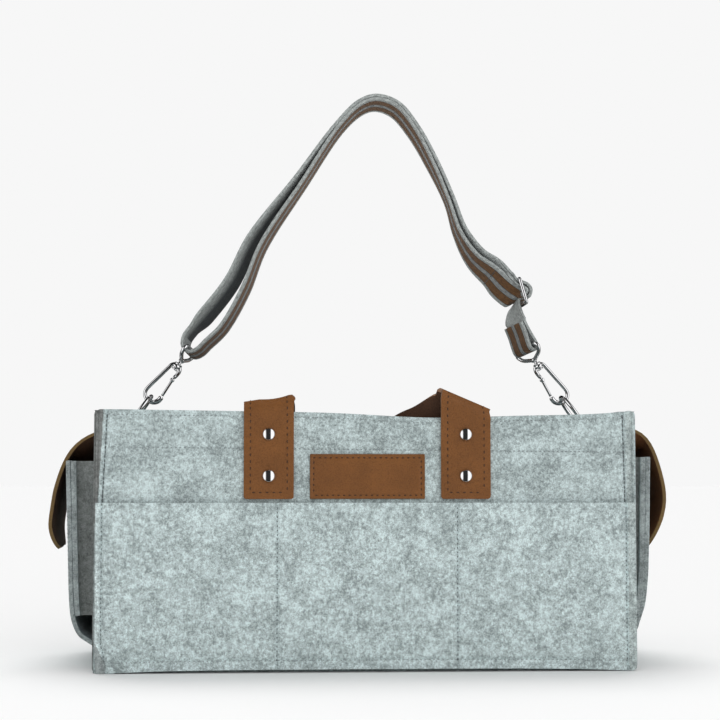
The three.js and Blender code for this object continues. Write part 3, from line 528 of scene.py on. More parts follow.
def pocket_point(x, z):
    past_seam = abs(x) - seam_at(x, z)
    past_parting = abs(x) - PARTING_X
    pull = (dip(past_seam, *SEAM_DIP) + dip(past_parting, *PARTING_DIP)
            + dip(z - BOTTOM_STITCH, *BOTTOM_DIP))
    inside = min(1, min(abs(past_seam), abs(past_parting)) / SWELL_REACH)
    swell = (SWELL * math.sin(math.pi / 2 * inside)
             * math.sin(math.pi * min(1, z / POCKET_TOP_Z)))
    low_end = max(0.0, 1 - z / TUCK_TALL) if x < 0 else 0.0
    near = max(0.0, 1 - abs(past_seam) / (TUCK_OUTSIDE if past_seam > 0 else TUCK_INSIDE))
    roll = lip_roll(x, z, POCKET_ROLL + TUCK_ROLL * low_end)
    y = -POCKET_FACE + min(pull, DEEPEST) + roll - swell - ripple(x, z, 0.5 * MM, 45 * MM)
    return x - math.copysign(TUCK * low_end * near, x), y, z + lift(x, z)


def cut_and_shade_edge(z):
    """Where the cut edge begins; low down a painted shade widens it to the whole lip."""
    return HALF_WIDTH - RAW_EDGE - SHADE_WIDE * min(1.0, max(0.0, (SHADE_TOP - z) / SHADE_TALL))


for face, put in FACES.items():
    columns = spread(-HALF_WIDTH, HALF_WIDTH, COARSE, (-SEAM_X, SEAM_X, -PARTING_X, PARTING_X),
                     END_REACH, END_FINE)
    rows = spread(0, POCKET_TOP_Z, COARSE, (BOTTOM_STITCH, 18 * MM, POCKET_TOP_Z - 0.8 * MM),
                  6 * MM, ROW_FINE)
    panel = sheet(f"{face}_slip_pocket_felt", columns, rows,
                  lambda x, z: put(*pocket_point(x, z)), edge=1.3 * MM)
    left = put(-1, 0, 0).x
    # Painted light on the left lip and painted shade on the right one. The cut edge gets the darker
    # cut felt, and low on the left, where the lip tucks in, it spreads over the whole lip as
    # painted shade.
    paint(panel, LIT, lambda p: left * p.x > LIP_START and p.z < LIT_TOP)
    paint(panel, DIM, lambda p: left * p.x < -LIP_START)
    paint(panel, CUT_AND_SHADE, lambda p: left * p.x > cut_and_shade_edge(p.z))
    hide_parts(f"{face}_slip_pockets")
    out = put(0, -1, 0)
    ends = [(-seam_at(-1, 0), BOTTOM_STITCH), (seam_at(1, 0), BOTTOM_STITCH)]
    seams = [[(put(*pocket_point(x, z)), out) for z in between(low, POCKET_TOP_Z - 1 * MM, 30)]
             for x, low in ends + [(-PARTING_X, 2 * MM), (PARTING_X, 2 * MM)]]
    stitches(f"{face}_pocket_seam_thread", seams, FELT_PITCH, dark_thread, radius=SEAM_THREAD)
    lowest = [(put(*pocket_point(x, BOTTOM_STITCH)), out) for x in between(-SEAM_X, SEAM_X, 80)]
    stitches(f"{face}_pocket_low_thread", [lowest], FELT_PITCH, grey_thread)

# %% [markdown]
# Floor, stiffening board and the two loose dividers. The floor felt turns up inside the long
# walls.

# %% Floor and dividers
TURN_UP, TURN_ROUND, TURN_MIDDLE = mm(14, 4, 1.2)
low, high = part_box("base_panel")
half = high[1]
turn = [(half - TURN_ROUND, 0), (half - TURN_MIDDLE, TURN_MIDDLE), (half, TURN_ROUND),
        (half, TURN_UP)]
base = sheet("base_felt", between(low[0], high[0], 12), [(-y, z) for y, z in turn[::-1]] + turn,
             lambda x, p: Vector((x, *p)), offset=1.0)
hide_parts("base_panel")

board = material_graph("insert_board")
grain = board.noise(board.place(), scale=500, detail=4, rough=0.6)
board_color = board.ramp(grain, (0.3, (0.10, 0.11, 0.115)), (0.7, (0.17, 0.18, 0.185)))
board.shade({"Base Color": board_color, "Roughness": 0.85})
board.bump(grain, strength=0.2, distance=0.4 * MM)
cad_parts["base_board"].data.materials.clear()
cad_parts["base_board"].data.materials.append(board.owner)

for side in SIDES:
    low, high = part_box(f"{side}_divider")
    divider = sheet(f"{side}_divider_felt", spread(low[1], high[1], 8 * MM),
                    spread(low[2], high[2], 8 * MM),
                    lambda y, z: Vector((high[0] - 0.2 * MM
                                         + ripple(y, z + high[0], 0.9 * MM, 70 * MM), y, z)),
                    FELT - 0.4 * MM)
    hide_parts(f"{side}_divider")

# %% [markdown]
# The side walls end in lips that turn out and are sewn to the front and back walls, raw edge to
# raw edge. In plan each wall is one bent sheet, so one path of points with rounded turns makes it.

# %% Side walls
SIDE_X, LIP_ROUND, SIDE_RIM, LIP_RISE, SIDE_BOW = mm(183, 3.5, 0.4, 0.7, 1.0)
LIP_X = HALF_WIDTH + 1.7 * MM
LIP_Y = HALF_DEPTH - FELT - GAP - FELT / 2


def rounded_path(corners, radius, steps=4):
    """A polyline in a plane with each inner corner turned into an arc."""
    path = [Vector(corners[0])]
    for before, corner, after in zip(corners, corners[1:], corners[2:]):
        c = Vector(corner)
        a, b = ((Vector(end) - c).normalized() * radius + c for end in (before, after))
        path += [a * (1 - t) ** 2 + 2 * t * (1 - t) * c + b * t ** 2 for t in between(0, 1, steps)]
    return path + [Vector(corners[-1])]


def subdivided(path, step):
    out = []
    for a, b in zip(path, path[1:]):
        count = max(1, round((b - a).length / step))
        out += [a.lerp(b, k / count) for k in range(count)]
    return out + [path[-1]]


def side_point(p, v):
    lip = max(0.0, (p.x - SIDE_X) / (LIP_X - SIDE_X))
    foot = corner_drop(LIP_ROUND - (LIP_X - p.x), LIP_ROUND)
    top = HEIGHT - SIDE_RIM + LIP_RISE * lip - foot
    bow = SIDE_BOW * math.sin(math.pi * min(1, max(0, (p.y + LIP_Y) / (2 * LIP_Y)))) * v
    return p.x - bow * (1 - lip), p.y, foot + v * (top - foot)


middle, lip_x = SIDE_X - FELT / 2, LIP_X - LIP_ROUND
corners = [(lip_x, -LIP_Y), (middle, -LIP_Y), (middle, LIP_Y), (lip_x, LIP_Y)]
lip_end = [LIP_X - LIP_ROUND * share for share in (0.5, 0.25, 0.1, 0)]
plan = ([Vector((x, -LIP_Y)) for x in lip_end[::-1]]
        + subdivided(rounded_path(corners, 3 * MM), COARSE) + [Vector((x, LIP_Y)) for x in lip_end])
rows = [z / HEIGHT for z in spread(0, HEIGHT, 9 * MM, (HEIGHT - RIM_STITCH,), 4 * MM)]
for side, put in SIDES.items():
    wall = sheet(f"{side}_wall_felt", plan, rows, lambda p, v: put(*side_point(p, v)), offset=0.0)
    # Painted shade: the lips of the left wall take the dark felt.
    if side == "left":
        paint(wall, SHADED, lambda p: abs(p.x) > SIDE_X + 2 * MM)
    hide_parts(f"{side}_side_wall")

# %% [markdown]
# Bellows pockets on the ends: an outer panel that narrows down and turns under at the bottom, and
# two channels of felt with their lips turned outwards, which follow the panel. Each panel has a
# profile of its own. The front lips show as felt layers. The channel behind them is lined with a
# dark felt, darkened further as painted shade, and one upright strip on it is painted darker still.

# %% Side pockets
POCKET_OUTLINES = {
    "left": pairs(
        (183.3, 11), (190, 12.6), (196.4, 15), (200.1, 17.3), (204.6, 20.3), (208.3, 25.5),
        (211.3, 34.5), (212.4, 43), (213.2, 57), (213.9, 79), (214.6, 100), (215.9, 148)),
    "right": pairs(
        (183.3, 12), (190, 14.5), (197, 18.5), (202.6, 24.2), (204.4, 29.3), (206.7, 36),
        (208.6, 42), (210, 51), (211.3, 64), (211.9, 79), (212.5, 110), (213.4, 151))}
POCKET_HALF, POCKET_LIP, SHADE_STRIP_X, TIGHT, LEAST_WIDTH = mm(62, 7, 195.4, 0.05, 7)
LINING_AND_SHADE_HALF, SHADE_STRIP_HALF, SEAM_HALF = mm(59, 2, 58.5)
GUSSET_NEAR, GUSSET_WEB = SIDE_X + GAP + FELT / 2, POCKET_HALF - POCKET_LIP - FELT / 2


def smooth_line(points, steps):
    """A smooth curve through points; the knots are spaced by the root of the distance."""
    points = [Vector(p) for p in points]
    points = [2 * points[0] - points[1]] + points + [2 * points[-1] - points[-2]]
    line = []
    for i in range(1, len(points) - 2):
        p0, p1, p2, p3 = points[i - 1:i + 3]
        d0, d1, d2 = (max((b - a).length, 1e-9) ** 0.5
                      for a, b in ((p0, p1), (p1, p2), (p2, p3)))
        t1 = ((p1 - p0) / d0 - (p2 - p0) / (d0 + d1) + (p2 - p1) / d1) * d1
        t2 = ((p2 - p1) / d1 - (p3 - p1) / (d1 + d2) + (p3 - p2) / d2) * d1
        square, cube = 3 * (p2 - p1) - 2 * t1 - t2, 2 * (p1 - p2) + t1 + t2
        line += [p1 + t1 * t + square * t ** 2 + cube * t ** 3
                 for t in (k / steps for k in range(steps))]
    return line + [points[-2]]


def direction_at(points, i):
    return (points[min(i + 1, len(points) - 1)] - points[max(i - 1, 0)]).normalized()


def across_at(path, z):
    """How far out a path of (out, up) points lies at a height."""
    for a, b in zip(path, path[1:]):
        if z <= b.y:
            return a.lerp(b, max(0.0, (z - a.y) / (b.y - a.y))).x
    return path[-1].x


for side, put in SIDES.items():
    outline = smooth_line(POCKET_OUTLINES[side], 4)
    panel_path = []
    for k, p in enumerate(outline):
        along = direction_at(outline, k)
        panel_path.append(p + Vector((-along.y, along.x)) * (FELT / 2))
    pocket_z = panel_path[-1].y
    panel = sheet(f"{side}_pocket_felt", spread(-POCKET_HALF, POCKET_HALF, COARSE), panel_path,
                  lambda y, p: put(p.x + ripple(y, p.y, 0.5 * MM, 50 * MM), y, p.y),
                  materials=[felt, felt_lining_and_shade, felt_cut_and_shade], offset=0.0)
    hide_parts(f"{side}_pocket_panel")

    near, far = GUSSET_NEAR, panel_path[-1].x - FELT - TIGHT
    corners = [(near, POCKET_HALF), (near, GUSSET_WEB), (far, GUSSET_WEB), (far, POCKET_HALF)]
    plan = subdivided(rounded_path(corners, 2.5 * MM), 4 * MM)
    for sign in (-1, 1):
        place_name = "front" if (sign < 0) != (side == "left") else "rear"
        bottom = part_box(f"{side}_pocket_front_gusset")[0][2]
        if place_name == "rear":
            bottom = next(p.y for p in panel_path if p.x > near + FELT + TIGHT + LEAST_WIDTH)

        def gusset_point(p, v):
            z = bottom + v * (pocket_z - 0.3 * MM - bottom)
            width = across_at(panel_path, z) - FELT - TIGHT - near
            return put(near + (p.x - near) * width / (far - near), sign * p.y, z)

        gusset = sheet(f"{side}_{place_name}_gusset_felt", plan[::sign],
                       [t ** 2 for t in between(0, 1, 16)], gusset_point, offset=0.0)
        # Painted shade: the web takes the darkened lining, and an upright strip on it the dark
        # painted-shade felt.
        paint(gusset, LINED_AND_SHADED, lambda p: abs(p.y) < LINING_AND_SHADE_HALF)
        paint(gusset, SHADED,
              lambda p: abs(p.y) < LINING_AND_SHADE_HALF and abs(abs(p.x) - SHADE_STRIP_X) < SHADE_STRIP_HALF)
        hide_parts(f"{side}_pocket_{place_name}_gusset")
    out = put(1, 0, 0)
    line = [(across_at(panel_path, z) + FELT / 2 + 0.1 * MM, z) for z in mm(38, 55, 80, 110, 145)]
    seams = [[(put(x, y, z), out) for x, z in line] for y in (-SEAM_HALF, SEAM_HALF)]
    top_x, top_z = line[-1]
    seams.append([(put(top_x, y, top_z), out) for y in between(-SEAM_HALF, SEAM_HALF, 20)])
    stitches(f"{side}_pocket_thread", seams, FELT_PITCH, grey_thread)

# %% [markdown]
# Leather has a grain of small plates between fine creases, a slightly uneven tan and a soft shine.
# The flesh side is matt, and its dark brown is painted shade; the cut edges are sealed in olive
# brown. The same sheet carries all three: Solidify gives the back and the rim their own materials.
# The right flap's flesh side is a lighter, warmer copy, as painted light, and the handles have a
# paler edge.

# %% Leather materials
def leather_material(name, light, dark, rough, grain):
    graph = material_graph(name)
    place = graph.place()
    cloud = graph.noise(place, scale=45, detail=5, rough=0.6)
    fine = graph.noise(place, scale=900, detail=4, rough=0.65)
    plates = graph.add("TexVoronoi", {})
    plates.feature = "SMOOTH_F1"
    graph.feed(plates, {"Vector": place, "Scale": 1250})
    creases = graph.ramp(plates.outputs["Distance"], (0.35, grey(1)), (0.75, grey(0)))
    color = graph.ramp(cloud, (0.3, dark), (0.7, light))
    color = graph.mix("MULTIPLY", 0.22, color, creases)
    color = graph.mix("OVERLAY", 0.18, color, fine)
    shine = graph.ramp(fine, (0.3, grey(rough - 0.07)), (0.7, grey(rough + 0.09)))
    graph.shade({"Base Color": color, "Roughness": shine, "Specular IOR Level": 0.35})
    graph.bump(graph.mix("ADD", 0.4, creases, fine), strength=0.35, distance=grain)
    return graph.owner


leather = leather_material(
    "leather", (0.232, 0.089, 0.022), (0.180, 0.069, 0.018), 0.44, 0.25 * MM)
# Painted shade: the flesh side is made dark brown.
leather_shaded_flesh = leather_material(
    "leather_shaded_flesh", (0.082, 0.037, 0.018), (0.055, 0.025, 0.013), 0.75, 0.4 * MM)
# Painted light: a lighter flesh side for the right flap.
lit_flesh = leather_material(
    "leather_lit_flesh", (0.225, 0.085, 0.028), (0.160, 0.060, 0.020), 0.75, 0.4 * MM)
leather_edge = leather_material(
    "leather_edge", (0.190, 0.118, 0.042), (0.140, 0.085, 0.030), 0.6, 0.3 * MM)
pale_edge = leather_material(
    "leather_pale_edge", (0.300, 0.175, 0.110), (0.220, 0.125, 0.075), 0.6, 0.3 * MM)
LEATHERS = [leather, leather_shaded_flesh, leather_edge]
# The right flap gets the lighter flesh side as painted light.
FLAP_LEATHERS = {"left": LEATHERS, "right": [leather, lit_flesh, leather_edge]}
# The handles' flesh side is the dark painted-shade flesh.
HANDLE_LEATHERS = [leather, leather_shaded_flesh, pale_edge]

# %% [markdown]
# Side flaps. Each is one bent leather sheet with round lower corners, sewn under a strip at its
# top. It springs out over the pocket, so its path is a curve from the strip out and down. Its
# middle sags into the pocket's mouth, and bulge and curl differ from side to side. The flap
# follows its own body.

# %% Flaps
FLAP_HALF, FLAP_LEATHER, FLAP_TOP, FLAP_REACH, FLAP_TIP, FLAP_CORNER = mm(50, 2.6, 172, 229, 84, 24)
FLAP_SAG, FLAP_MOUTH, FLAP_WAVE, FLAP_INSET, FLAP_SEWN = mm(19, 34, 1.2, 4.2, 4)
FLAP_CURL = {"left": mm(20, 6), "right": mm(48, 15.5)}
FLAP_BULGE = {"left": (0.85, 0.45, 2.8 * MM), "right": (0.7, 0.28, 4 * MM)}
FLAP_DROP = {"left": 6.5 * MM, "right": -3 * MM}


def cubic(points, t):
    a, b, c, d = points
    s = 1 - t
    return a * s ** 3 + b * (3 * s * s * t) + c * (3 * s * t * t) + d * t ** 3


flap_curve = [Vector((SIDE_X + GAP + FLAP_LEATHER, FLAP_TOP - FLAP_LEATHER / 2)),
              Vector((FLAP_REACH - 5 * MM, FLAP_TOP + 2 * MM)),
              Vector((FLAP_REACH - 9 * MM, (FLAP_TOP + FLAP_TIP) / 2 + 12 * MM)),
              Vector((FLAP_REACH - FLAP_LEATHER / 2, FLAP_TIP))]
flap_path = [cubic(flap_curve, t) for t in between(0, 1, 200)]
flap_run = runs_along(flap_path)
FLAP_LENGTH = flap_run[-1]
ROUND_START = FLAP_LENGTH - FLAP_CORNER


def flap_at(run):
    """Point and outward normal of the flap's middle layer at a distance from its top."""
    k = min(len(flap_run) - 2, max(0, bisect_right(flap_run, run) - 1))
    t = (run - flap_run[k]) / (flap_run[k + 1] - flap_run[k])
    along = (flap_path[k + 1] - flap_path[k]).normalized()
    return flap_path[k].lerp(flap_path[k + 1], t), Vector((-along.y, along.x))


def flap_half(run, inset=0.0):
    return FLAP_HALF - inset - corner_drop(run - ROUND_START, FLAP_CORNER - inset)


def flap_surface(side, y, run):
    """A point of the flap's middle layer and its outward normal, before the turn to the left."""
    point, normal = flap_at(run)
    reach, depth = FLAP_CURL[side]
    curl = depth * max(0.0, 1 - (FLAP_LENGTH - run) / reach) ** 2
    peak, width, height = FLAP_BULGE[side]
    bulge = dip(run / FLAP_LENGTH - peak, height, width)
    wave = FLAP_WAVE * math.sin(math.pi * y / FLAP_HALF) * (run / FLAP_LENGTH) ** 2
    hollow = FLAP_SAG * (1 - (y / FLAP_HALF) ** 2) * math.sin(math.pi * min(1.0, run / FLAP_MOUTH))
    drop = FLAP_DROP[side] * math.sin(math.pi * min(1.0, run / (2 * FLAP_MOUTH)))
    p = point + normal * (bulge - wave - curl)
    return Vector((p.x, y, p.y - hollow - drop)), Vector((normal.x, 0, normal.y))


flap_rows = [r for r in between(0, FLAP_LENGTH, 22) if r < ROUND_START - 1 * MM]
flap_rows += [ROUND_START + FLAP_CORNER * t for t in eased(0, 1, 12)]
for side, put in SIDES.items():
    flap = sheet(f"{side}_flap_leather", eased(-1, 1, 24), flap_rows[::-1],
                 lambda u, run: put(*flap_surface(side, u * flap_half(run), run)[0]),
                 FLAP_LEATHER, FLAP_LEATHERS[side], f"{side}_flap", 0.0, 0.6 * MM)
    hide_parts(f"{side}_flap")

    def sewn(y, run):
        point, normal = flap_surface(side, y, run)
        return put(*(point + normal * FLAP_LEATHER / 2)), put(*normal)

    runs = between(FLAP_SEWN, FLAP_LENGTH - FLAP_INSET - 0.01 * MM, 80)
    border = [[sewn(sign * flap_half(run, FLAP_INSET), run) for run in runs] for sign in (-1, 1)]
    border.append([sewn(y, FLAP_LENGTH - FLAP_INSET)
                   for y in between(FLAP_CORNER - FLAP_HALF, FLAP_HALF - FLAP_CORNER, 12)])
    stitches(f"{side}_flap_thread", border, LEATHER_PITCH, brown_thread,
             f"{side}_flap", radius=SEAM_THREAD)

    low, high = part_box(f"{side}_flap_strip")
    x, middle = max(abs(low[0]), abs(high[0])), (low[2] + high[2]) / 2
    strip = sheet(f"{side}_strip_leather",
                  [-FLAP_HALF, -FLAP_HALF + 2 * MM, 0, FLAP_HALF - 2 * MM, FLAP_HALF],
                  [low[2], low[2] + 1.5 * MM, middle, high[2] - 1.5 * MM, high[2]],
                  lambda y, z: put(x, y, z), FLAP_LEATHER, LEATHERS)
    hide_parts(f"{side}_flap_strip")
    row = [(put(x, y * (FLAP_HALF - 3 * MM), middle), put(1, 0, 0)) for y in (-1, 0, 1)]
    stitches(f"{side}_strip_thread", [row], LEATHER_PITCH, brown_thread,
             radius=STRIP_THREAD)

# %% [markdown]
# A handle is one leather strap: up from a leg, over the rim in a fold, down into the caddy, across
# and back over the rim to the other leg. The front's right fold runs slantwise, so the grip leaves
# it towards the middle and its flesh side shows, painted dark as painted shade. The path has a
# point and a width direction at each station, and a smooth curve joins them.

# %% Handles
HANDLE_HALF, HANDLE_LEATHER, HANDLE_PLACE, HANDLE_INSET, HANDLE_CORNER = mm(17.5, 3, 69.4, 4.6, 2)
LEG_BOTTOM, LEG_TOP, FOLD_RISE, FOLD_OUT, FOLD_IN = mm(120.6, 180.33, 4.5, -116.8, -106.0)
FOLD_Y, FOLD_RADIUS = (FOLD_OUT + FOLD_IN) / 2, (FOLD_IN - FOLD_OUT) / 2
FOLD_CREST, FOLD_TILT = (0, 0.66, 1, 0.66, 0), (1, 1, 1, 1.1, 1.35)
CREST_SAG, CREST_DROP = mm(1.1, 1.8)
SAG_AT, SAG_HALF, DROP_AT = 0.25, 0.6, 0.9
HANDLE_STEPS, BLEND_Z = 10, 190 * MM


def band_frames(stations, steps):
    """(centre, width direction stretched for the slant, face normal) along a band."""
    centers = smooth_line([p for p, a in stations], steps)
    acrosses = smooth_line([a for p, a in stations], steps)
    frames = []
    for i, (center, across) in enumerate(zip(centers, acrosses)):
        across = across.normalized()
        face = across.cross(direction_at(centers, i))
        frames.append((center, across / max(face.length, 0.9), face.normalized()))
    return frames


def fold(sign, tilt, drift):
    stations = []
    for i, (crest, share) in enumerate(zip(FOLD_CREST, FOLD_TILT)):
        lean = math.radians(tilt * share)
        stations.append((Vector((sign * (HANDLE_PLACE - drift * max(0, i - 2) / 2),
                                 FOLD_Y + FOLD_RADIUS * (i / 2 - 1),
                                 LEG_TOP + FOLD_RISE + FOLD_RADIUS * crest)),
                         Vector((-sign * math.cos(lean), 0, math.sin(lean)))))
    return stations


def leg(sign):
    heights = [LEG_BOTTOM + z for z in mm(0, 2.5, 20, 36)] + [LEG_TOP - 12 * MM]
    return [(Vector((sign * HANDLE_PLACE, FOLD_OUT, z)), Vector((-sign, 0, 0))) for z in heights]


def hanging(places):
    return [(Vector((along * HANDLE_PLACE, FOLD_IN + inwards * MM, LEG_TOP - drop * MM)),
             Vector(across)) for along, inwards, drop, across in places]


left_half = [(-0.97, 4, 14, (0.97, 0.12, 0.2)), (-0.86, 8, 34, (0.85, 0.4, 0.3)),
             (-0.5, 14, 55, (0.45, 0.85, 0.25)), (0, 18, 62, (0, 1, 0))]
right_half = [(-a, b, c, (-x, y, z)) for a, b, c, (x, y, z) in left_half[2::-1]]
slanting_half = [(0.34, 10, 20, (-0.43, 0.35, 0.83)), (0.65, 4, 8, (-0.59, 0.1, 0.80))]
PLAIN_FOLD, SLANT_FOLD = (9, 1 * MM), (23, 6 * MM)
RIGHT_HALVES = {"front": (slanting_half, SLANT_FOLD), "back": (right_half, PLAIN_FOLD)}


def crest_bend(center, u):
    """The left fold is not straight: it sags before its right end and drops at the end."""
    if center.x > 0:
        return Vector()
    near = max(0.0, 1 - ((center.y - FOLD_Y) / FOLD_RADIUS) ** 2)
    sag = CREST_SAG * max(0.0, 1 - ((u - SAG_AT) / SAG_HALF) ** 2)
    sag += CREST_DROP * max(0.0, (u - DROP_AT) / (1 - DROP_AT)) ** 2
    return Vector((0, 0, -sag * near))


for face, put in FACES.items():
    right_places, right_fold = RIGHT_HALVES[face]
    stations = (leg(-1) + fold(-1, *PLAIN_FOLD) + hanging(left_half + right_places)
                + fold(1, *right_fold)[::-1] + leg(1)[::-1])
    frames = band_frames(stations, HANDLE_STEPS)
    runs = runs_along([center for center, _, _ in frames])
    print(face, "handle strap", round(runs[-1], 3), "m long")
    columns = eased(-1, 1, 16)
    points = []
    for (center, across, normal), run in zip(frames, runs):
        into = HANDLE_CORNER - min(run, runs[-1] - run)
        half = HANDLE_HALF - corner_drop(into, HANDLE_CORNER)
        points += [put(*(center + across * (u * half) + crest_bend(center, u))) for u in columns]
    strap = add_mesh(f"{face}_handle_leather", points, grid_faces(len(columns), len(runs)),
                     HANDLE_LEATHERS)
    thicken(strap, HANDLE_LEATHER, 0.0, SOFT_EDGE)
    border = HANDLE_HALF - HANDLE_INSET
    paths = []
    for sign in (-1, 1):
        u = sign * border / HANDLE_HALF
        paths.append([(put(*(center + across * (sign * border) + normal * (HANDLE_LEATHER / 2)
                             + crest_bend(center, u))), put(*normal))
                      for (center, across, normal), run in zip(frames, runs)
                      if HANDLE_INSET <= run <= runs[-1] - HANDLE_INSET])
    for sign in (-1, 1):
        paths.append([(put(sign * HANDLE_PLACE + t * border, FOLD_OUT - HANDLE_LEATHER / 2,
                           LEG_BOTTOM + HANDLE_INSET), put(0, -1, 0)) for t in (-1, 0, 1)])
    thread = stitches(f"{face}_handle_thread", paths, LEATHER_PITCH, brown_thread, None,
                      radius=BOLD_THREAD)
    start, end = put(0, FOLD_OUT + 0.5 * MM, BLEND_Z), put(0, FOLD_IN - 0.5 * MM, BLEND_Z)
    for piece in (strap, thread):
        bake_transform(piece)
        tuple(start)
        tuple(end)
    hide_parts(f"{face}_handle_left_leg", f"{face}_handle_right_leg", f"{face}_handle_grip")

# %% [markdown]
# Chrome shows what is round it: bright above, dark towards the horizon. Only a trace of roughness
# and a faint unevenness keep it from looking computed.

# %% Chrome and rivets
RIVET_HEAD, RIVET_DOME, RIVET_RIM, RIVET_FOOT, RIVET_STEM = mm(4.6, 2.9, 0.25, 4, 1.5)
graph = material_graph("chrome")
smear = graph.noise(graph.place(), scale=350, detail=3, rough=0.6)
graph.shade({"Base Color": (0.80, 0.80, 0.81), "Metallic": 1.0,
             "Roughness": graph.ramp(smear, (0.3, grey(0.05)), (0.7, grey(0.13)))})
graph.bump(smear, strength=0.05, distance=0.2 * MM)
chrome = graph.owner


def circle(sides):
    """(cosine, sine) at even turns."""
    turns = [2 * math.pi * k / sides for k in range(sides)]
    return [(math.cos(t), math.sin(t)) for t in turns]


def lathe(profile, sides=32):
    """Rings of points round the Z axis for (radius, height) pairs, closed at both ends."""
    points = [Vector((radius * c, radius * s, height))
              for radius, height in profile for c, s in circle(sides)]
    return points, skin(len(profile), sides)


under = HALF_DEPTH + 2 * GAP + HANDLE_LEATHER
dome = [math.pi / 2 * k / 9 for k in range(1, 9)]
for face in FACES:
    for side in SIDES:
        for level in ("lower", "upper"):
            name = f"{face}_{side}_{level}_rivet"
            low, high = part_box(name)
            x, z, foot = (low[0] + high[0]) / 2, (low[2] + high[2]) / 2, low[1] - high[1]
            profile = [(RIVET_FOOT, foot + 2.6 * MM), (RIVET_FOOT, foot + 3.6 * MM),
                       (RIVET_STEM, foot + 3.7 * MM), (RIVET_STEM, 0), (RIVET_HEAD * 0.93, 0),
                       (RIVET_HEAD, RIVET_RIM)]
            profile += [(RIVET_HEAD * math.cos(t), RIVET_RIM + RIVET_DOME * math.sin(t))
                        for t in dome]
            profile.append((0.02 * MM, RIVET_RIM + RIVET_DOME))
            points, faces = lathe(profile)
            out = -1 if face == "front" else 1
            turned = [(x + p.x, out * (under + p.z), z - out * p.y) for p in points]
            rivet = add_mesh(f"{name}_chrome", turned, faces, [chrome], "caddy")
            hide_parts(name)

# %% [markdown]
# The label patch is a plain stitched rectangle of the same leather, with its border pressed by the
# thread. It carries no words.

# %% Patch
PATCH_INSET, PATCH_LEATHER, PATCH_REACH, PATCH_FINE = mm(2.6, 1.8, 2.4, 0.6)
PATCH_DIP = mm(0.35, 0.9)
low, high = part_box("label_patch")
half, tall, face_y = (high[0] - low[0]) / 2, (high[2] - low[2]) / 2, low[1]
middle = (high[2] + low[2]) / 2


def patch_point(x, z):
    edge = min(half - abs(x), tall - abs(z - middle))
    return Vector((x, face_y + dip(edge - PATCH_INSET, *PATCH_DIP) - 0.1 * MM, z))


columns, rows = (spread(a, b, 5 * MM, (a + PATCH_INSET, b - PATCH_INSET), PATCH_REACH, PATCH_FINE)
                 for a, b in ((-half, half), (low[2], high[2])))
patch = sheet("label_patch_leather", columns, rows, patch_point, PATCH_LEATHER, LEATHERS,
              edge=0.5 * MM)
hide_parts("label_patch")
w, h = half - PATCH_INSET, tall - PATCH_INSET
path = [(Vector((x * w, face_y + 0.2 * MM, middle + z * h)), Vector((0, -1, 0)))
        for x, z in ((-1, -1), (1, -1), (1, 1), (-1, 1), (-1, -1))]
stitches("label_patch_thread", [path], PATCH_PITCH, brown_thread, radius=BOLD_THREAD)

# %% [markdown]
# Rings, hooks and swivels are bent wire. A tube along a smooth path makes them; its radius can
# change along the way, so a hook's nose is thicker than its spine.

# %% Rings and ring tabs
X_AXIS, Y_AXIS = Vector((1, 0, 0)), Vector((0, 1, 0))
RING_WIRE, RING_HALF, RING_REACH, RING_ROUND, TAB_WIDTH, TAB_WEBBING = mm(3, 14, 30.5, 3, 24, 1.7)
RING_BAR = Vector(mm(175.7, 0, 173))


def tube(path, normal, radius, is_ring=False, sides=14):
    """A round wire in a plane with the given normal; radius may be a function of 0..1."""
    count = len(path)
    points = []
    for i, center in enumerate(path):
        before = path[(i - 1) % count] if is_ring else path[max(i - 1, 0)]
        after = path[(i + 1) % count] if is_ring else path[min(i + 1, count - 1)]
        side = (after - before).normalized().cross(normal)
        size = radius(i / (count - 1)) if callable(radius) else radius
        points += [center + side * (c * size) + normal * (s * size) for c, s in circle(sides)]
    return points, skin(count, sides, 0, is_ring, True)


def arc(x, y, radius, start, stop, steps):
    turns = [math.radians(angle) for angle in between(start, stop, steps)]
    return [(x + radius * math.cos(t), y + radius * math.sin(t)) for t in turns]


ring_outline = (arc(RING_ROUND - RING_HALF, RING_ROUND, RING_ROUND, 180, 270, 6)
                + arc(RING_HALF - RING_ROUND, RING_ROUND, RING_ROUND, 270, 360, 6)
                + arc(0, RING_REACH - RING_HALF, RING_HALF, 0, 180, 28))
ring_lean = Matrix.Rotation(math.radians(54 - 90), 4, "Y")
for side, put in SIDES.items():
    path = [put(*(RING_BAR + ring_lean @ Vector((0, y, z)))) for y, z in ring_outline]
    points, faces = tube(path, put(*(ring_lean @ X_AXIS)), RING_WIRE / 2, True)
    ring = add_mesh(f"{side}_ring_chrome", points, faces, [chrome], f"{side}_ring")
    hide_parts(f"{side}_ring")

# %% [markdown]
# Webbing is woven in ribs: threads cross it at every millimetre or so, and coloured warp threads
# make the stripes along it. The UV map holds metres, across the width in U and along the length in
# V, so stripes and ribs follow the webbing round every bend.

# %% Webbing material
STRAP_WIDTH, STRAP_WEBBING, RIB_ACROSS, RIB_ALONG = mm(25, 2.4, 1.1, 1.5)


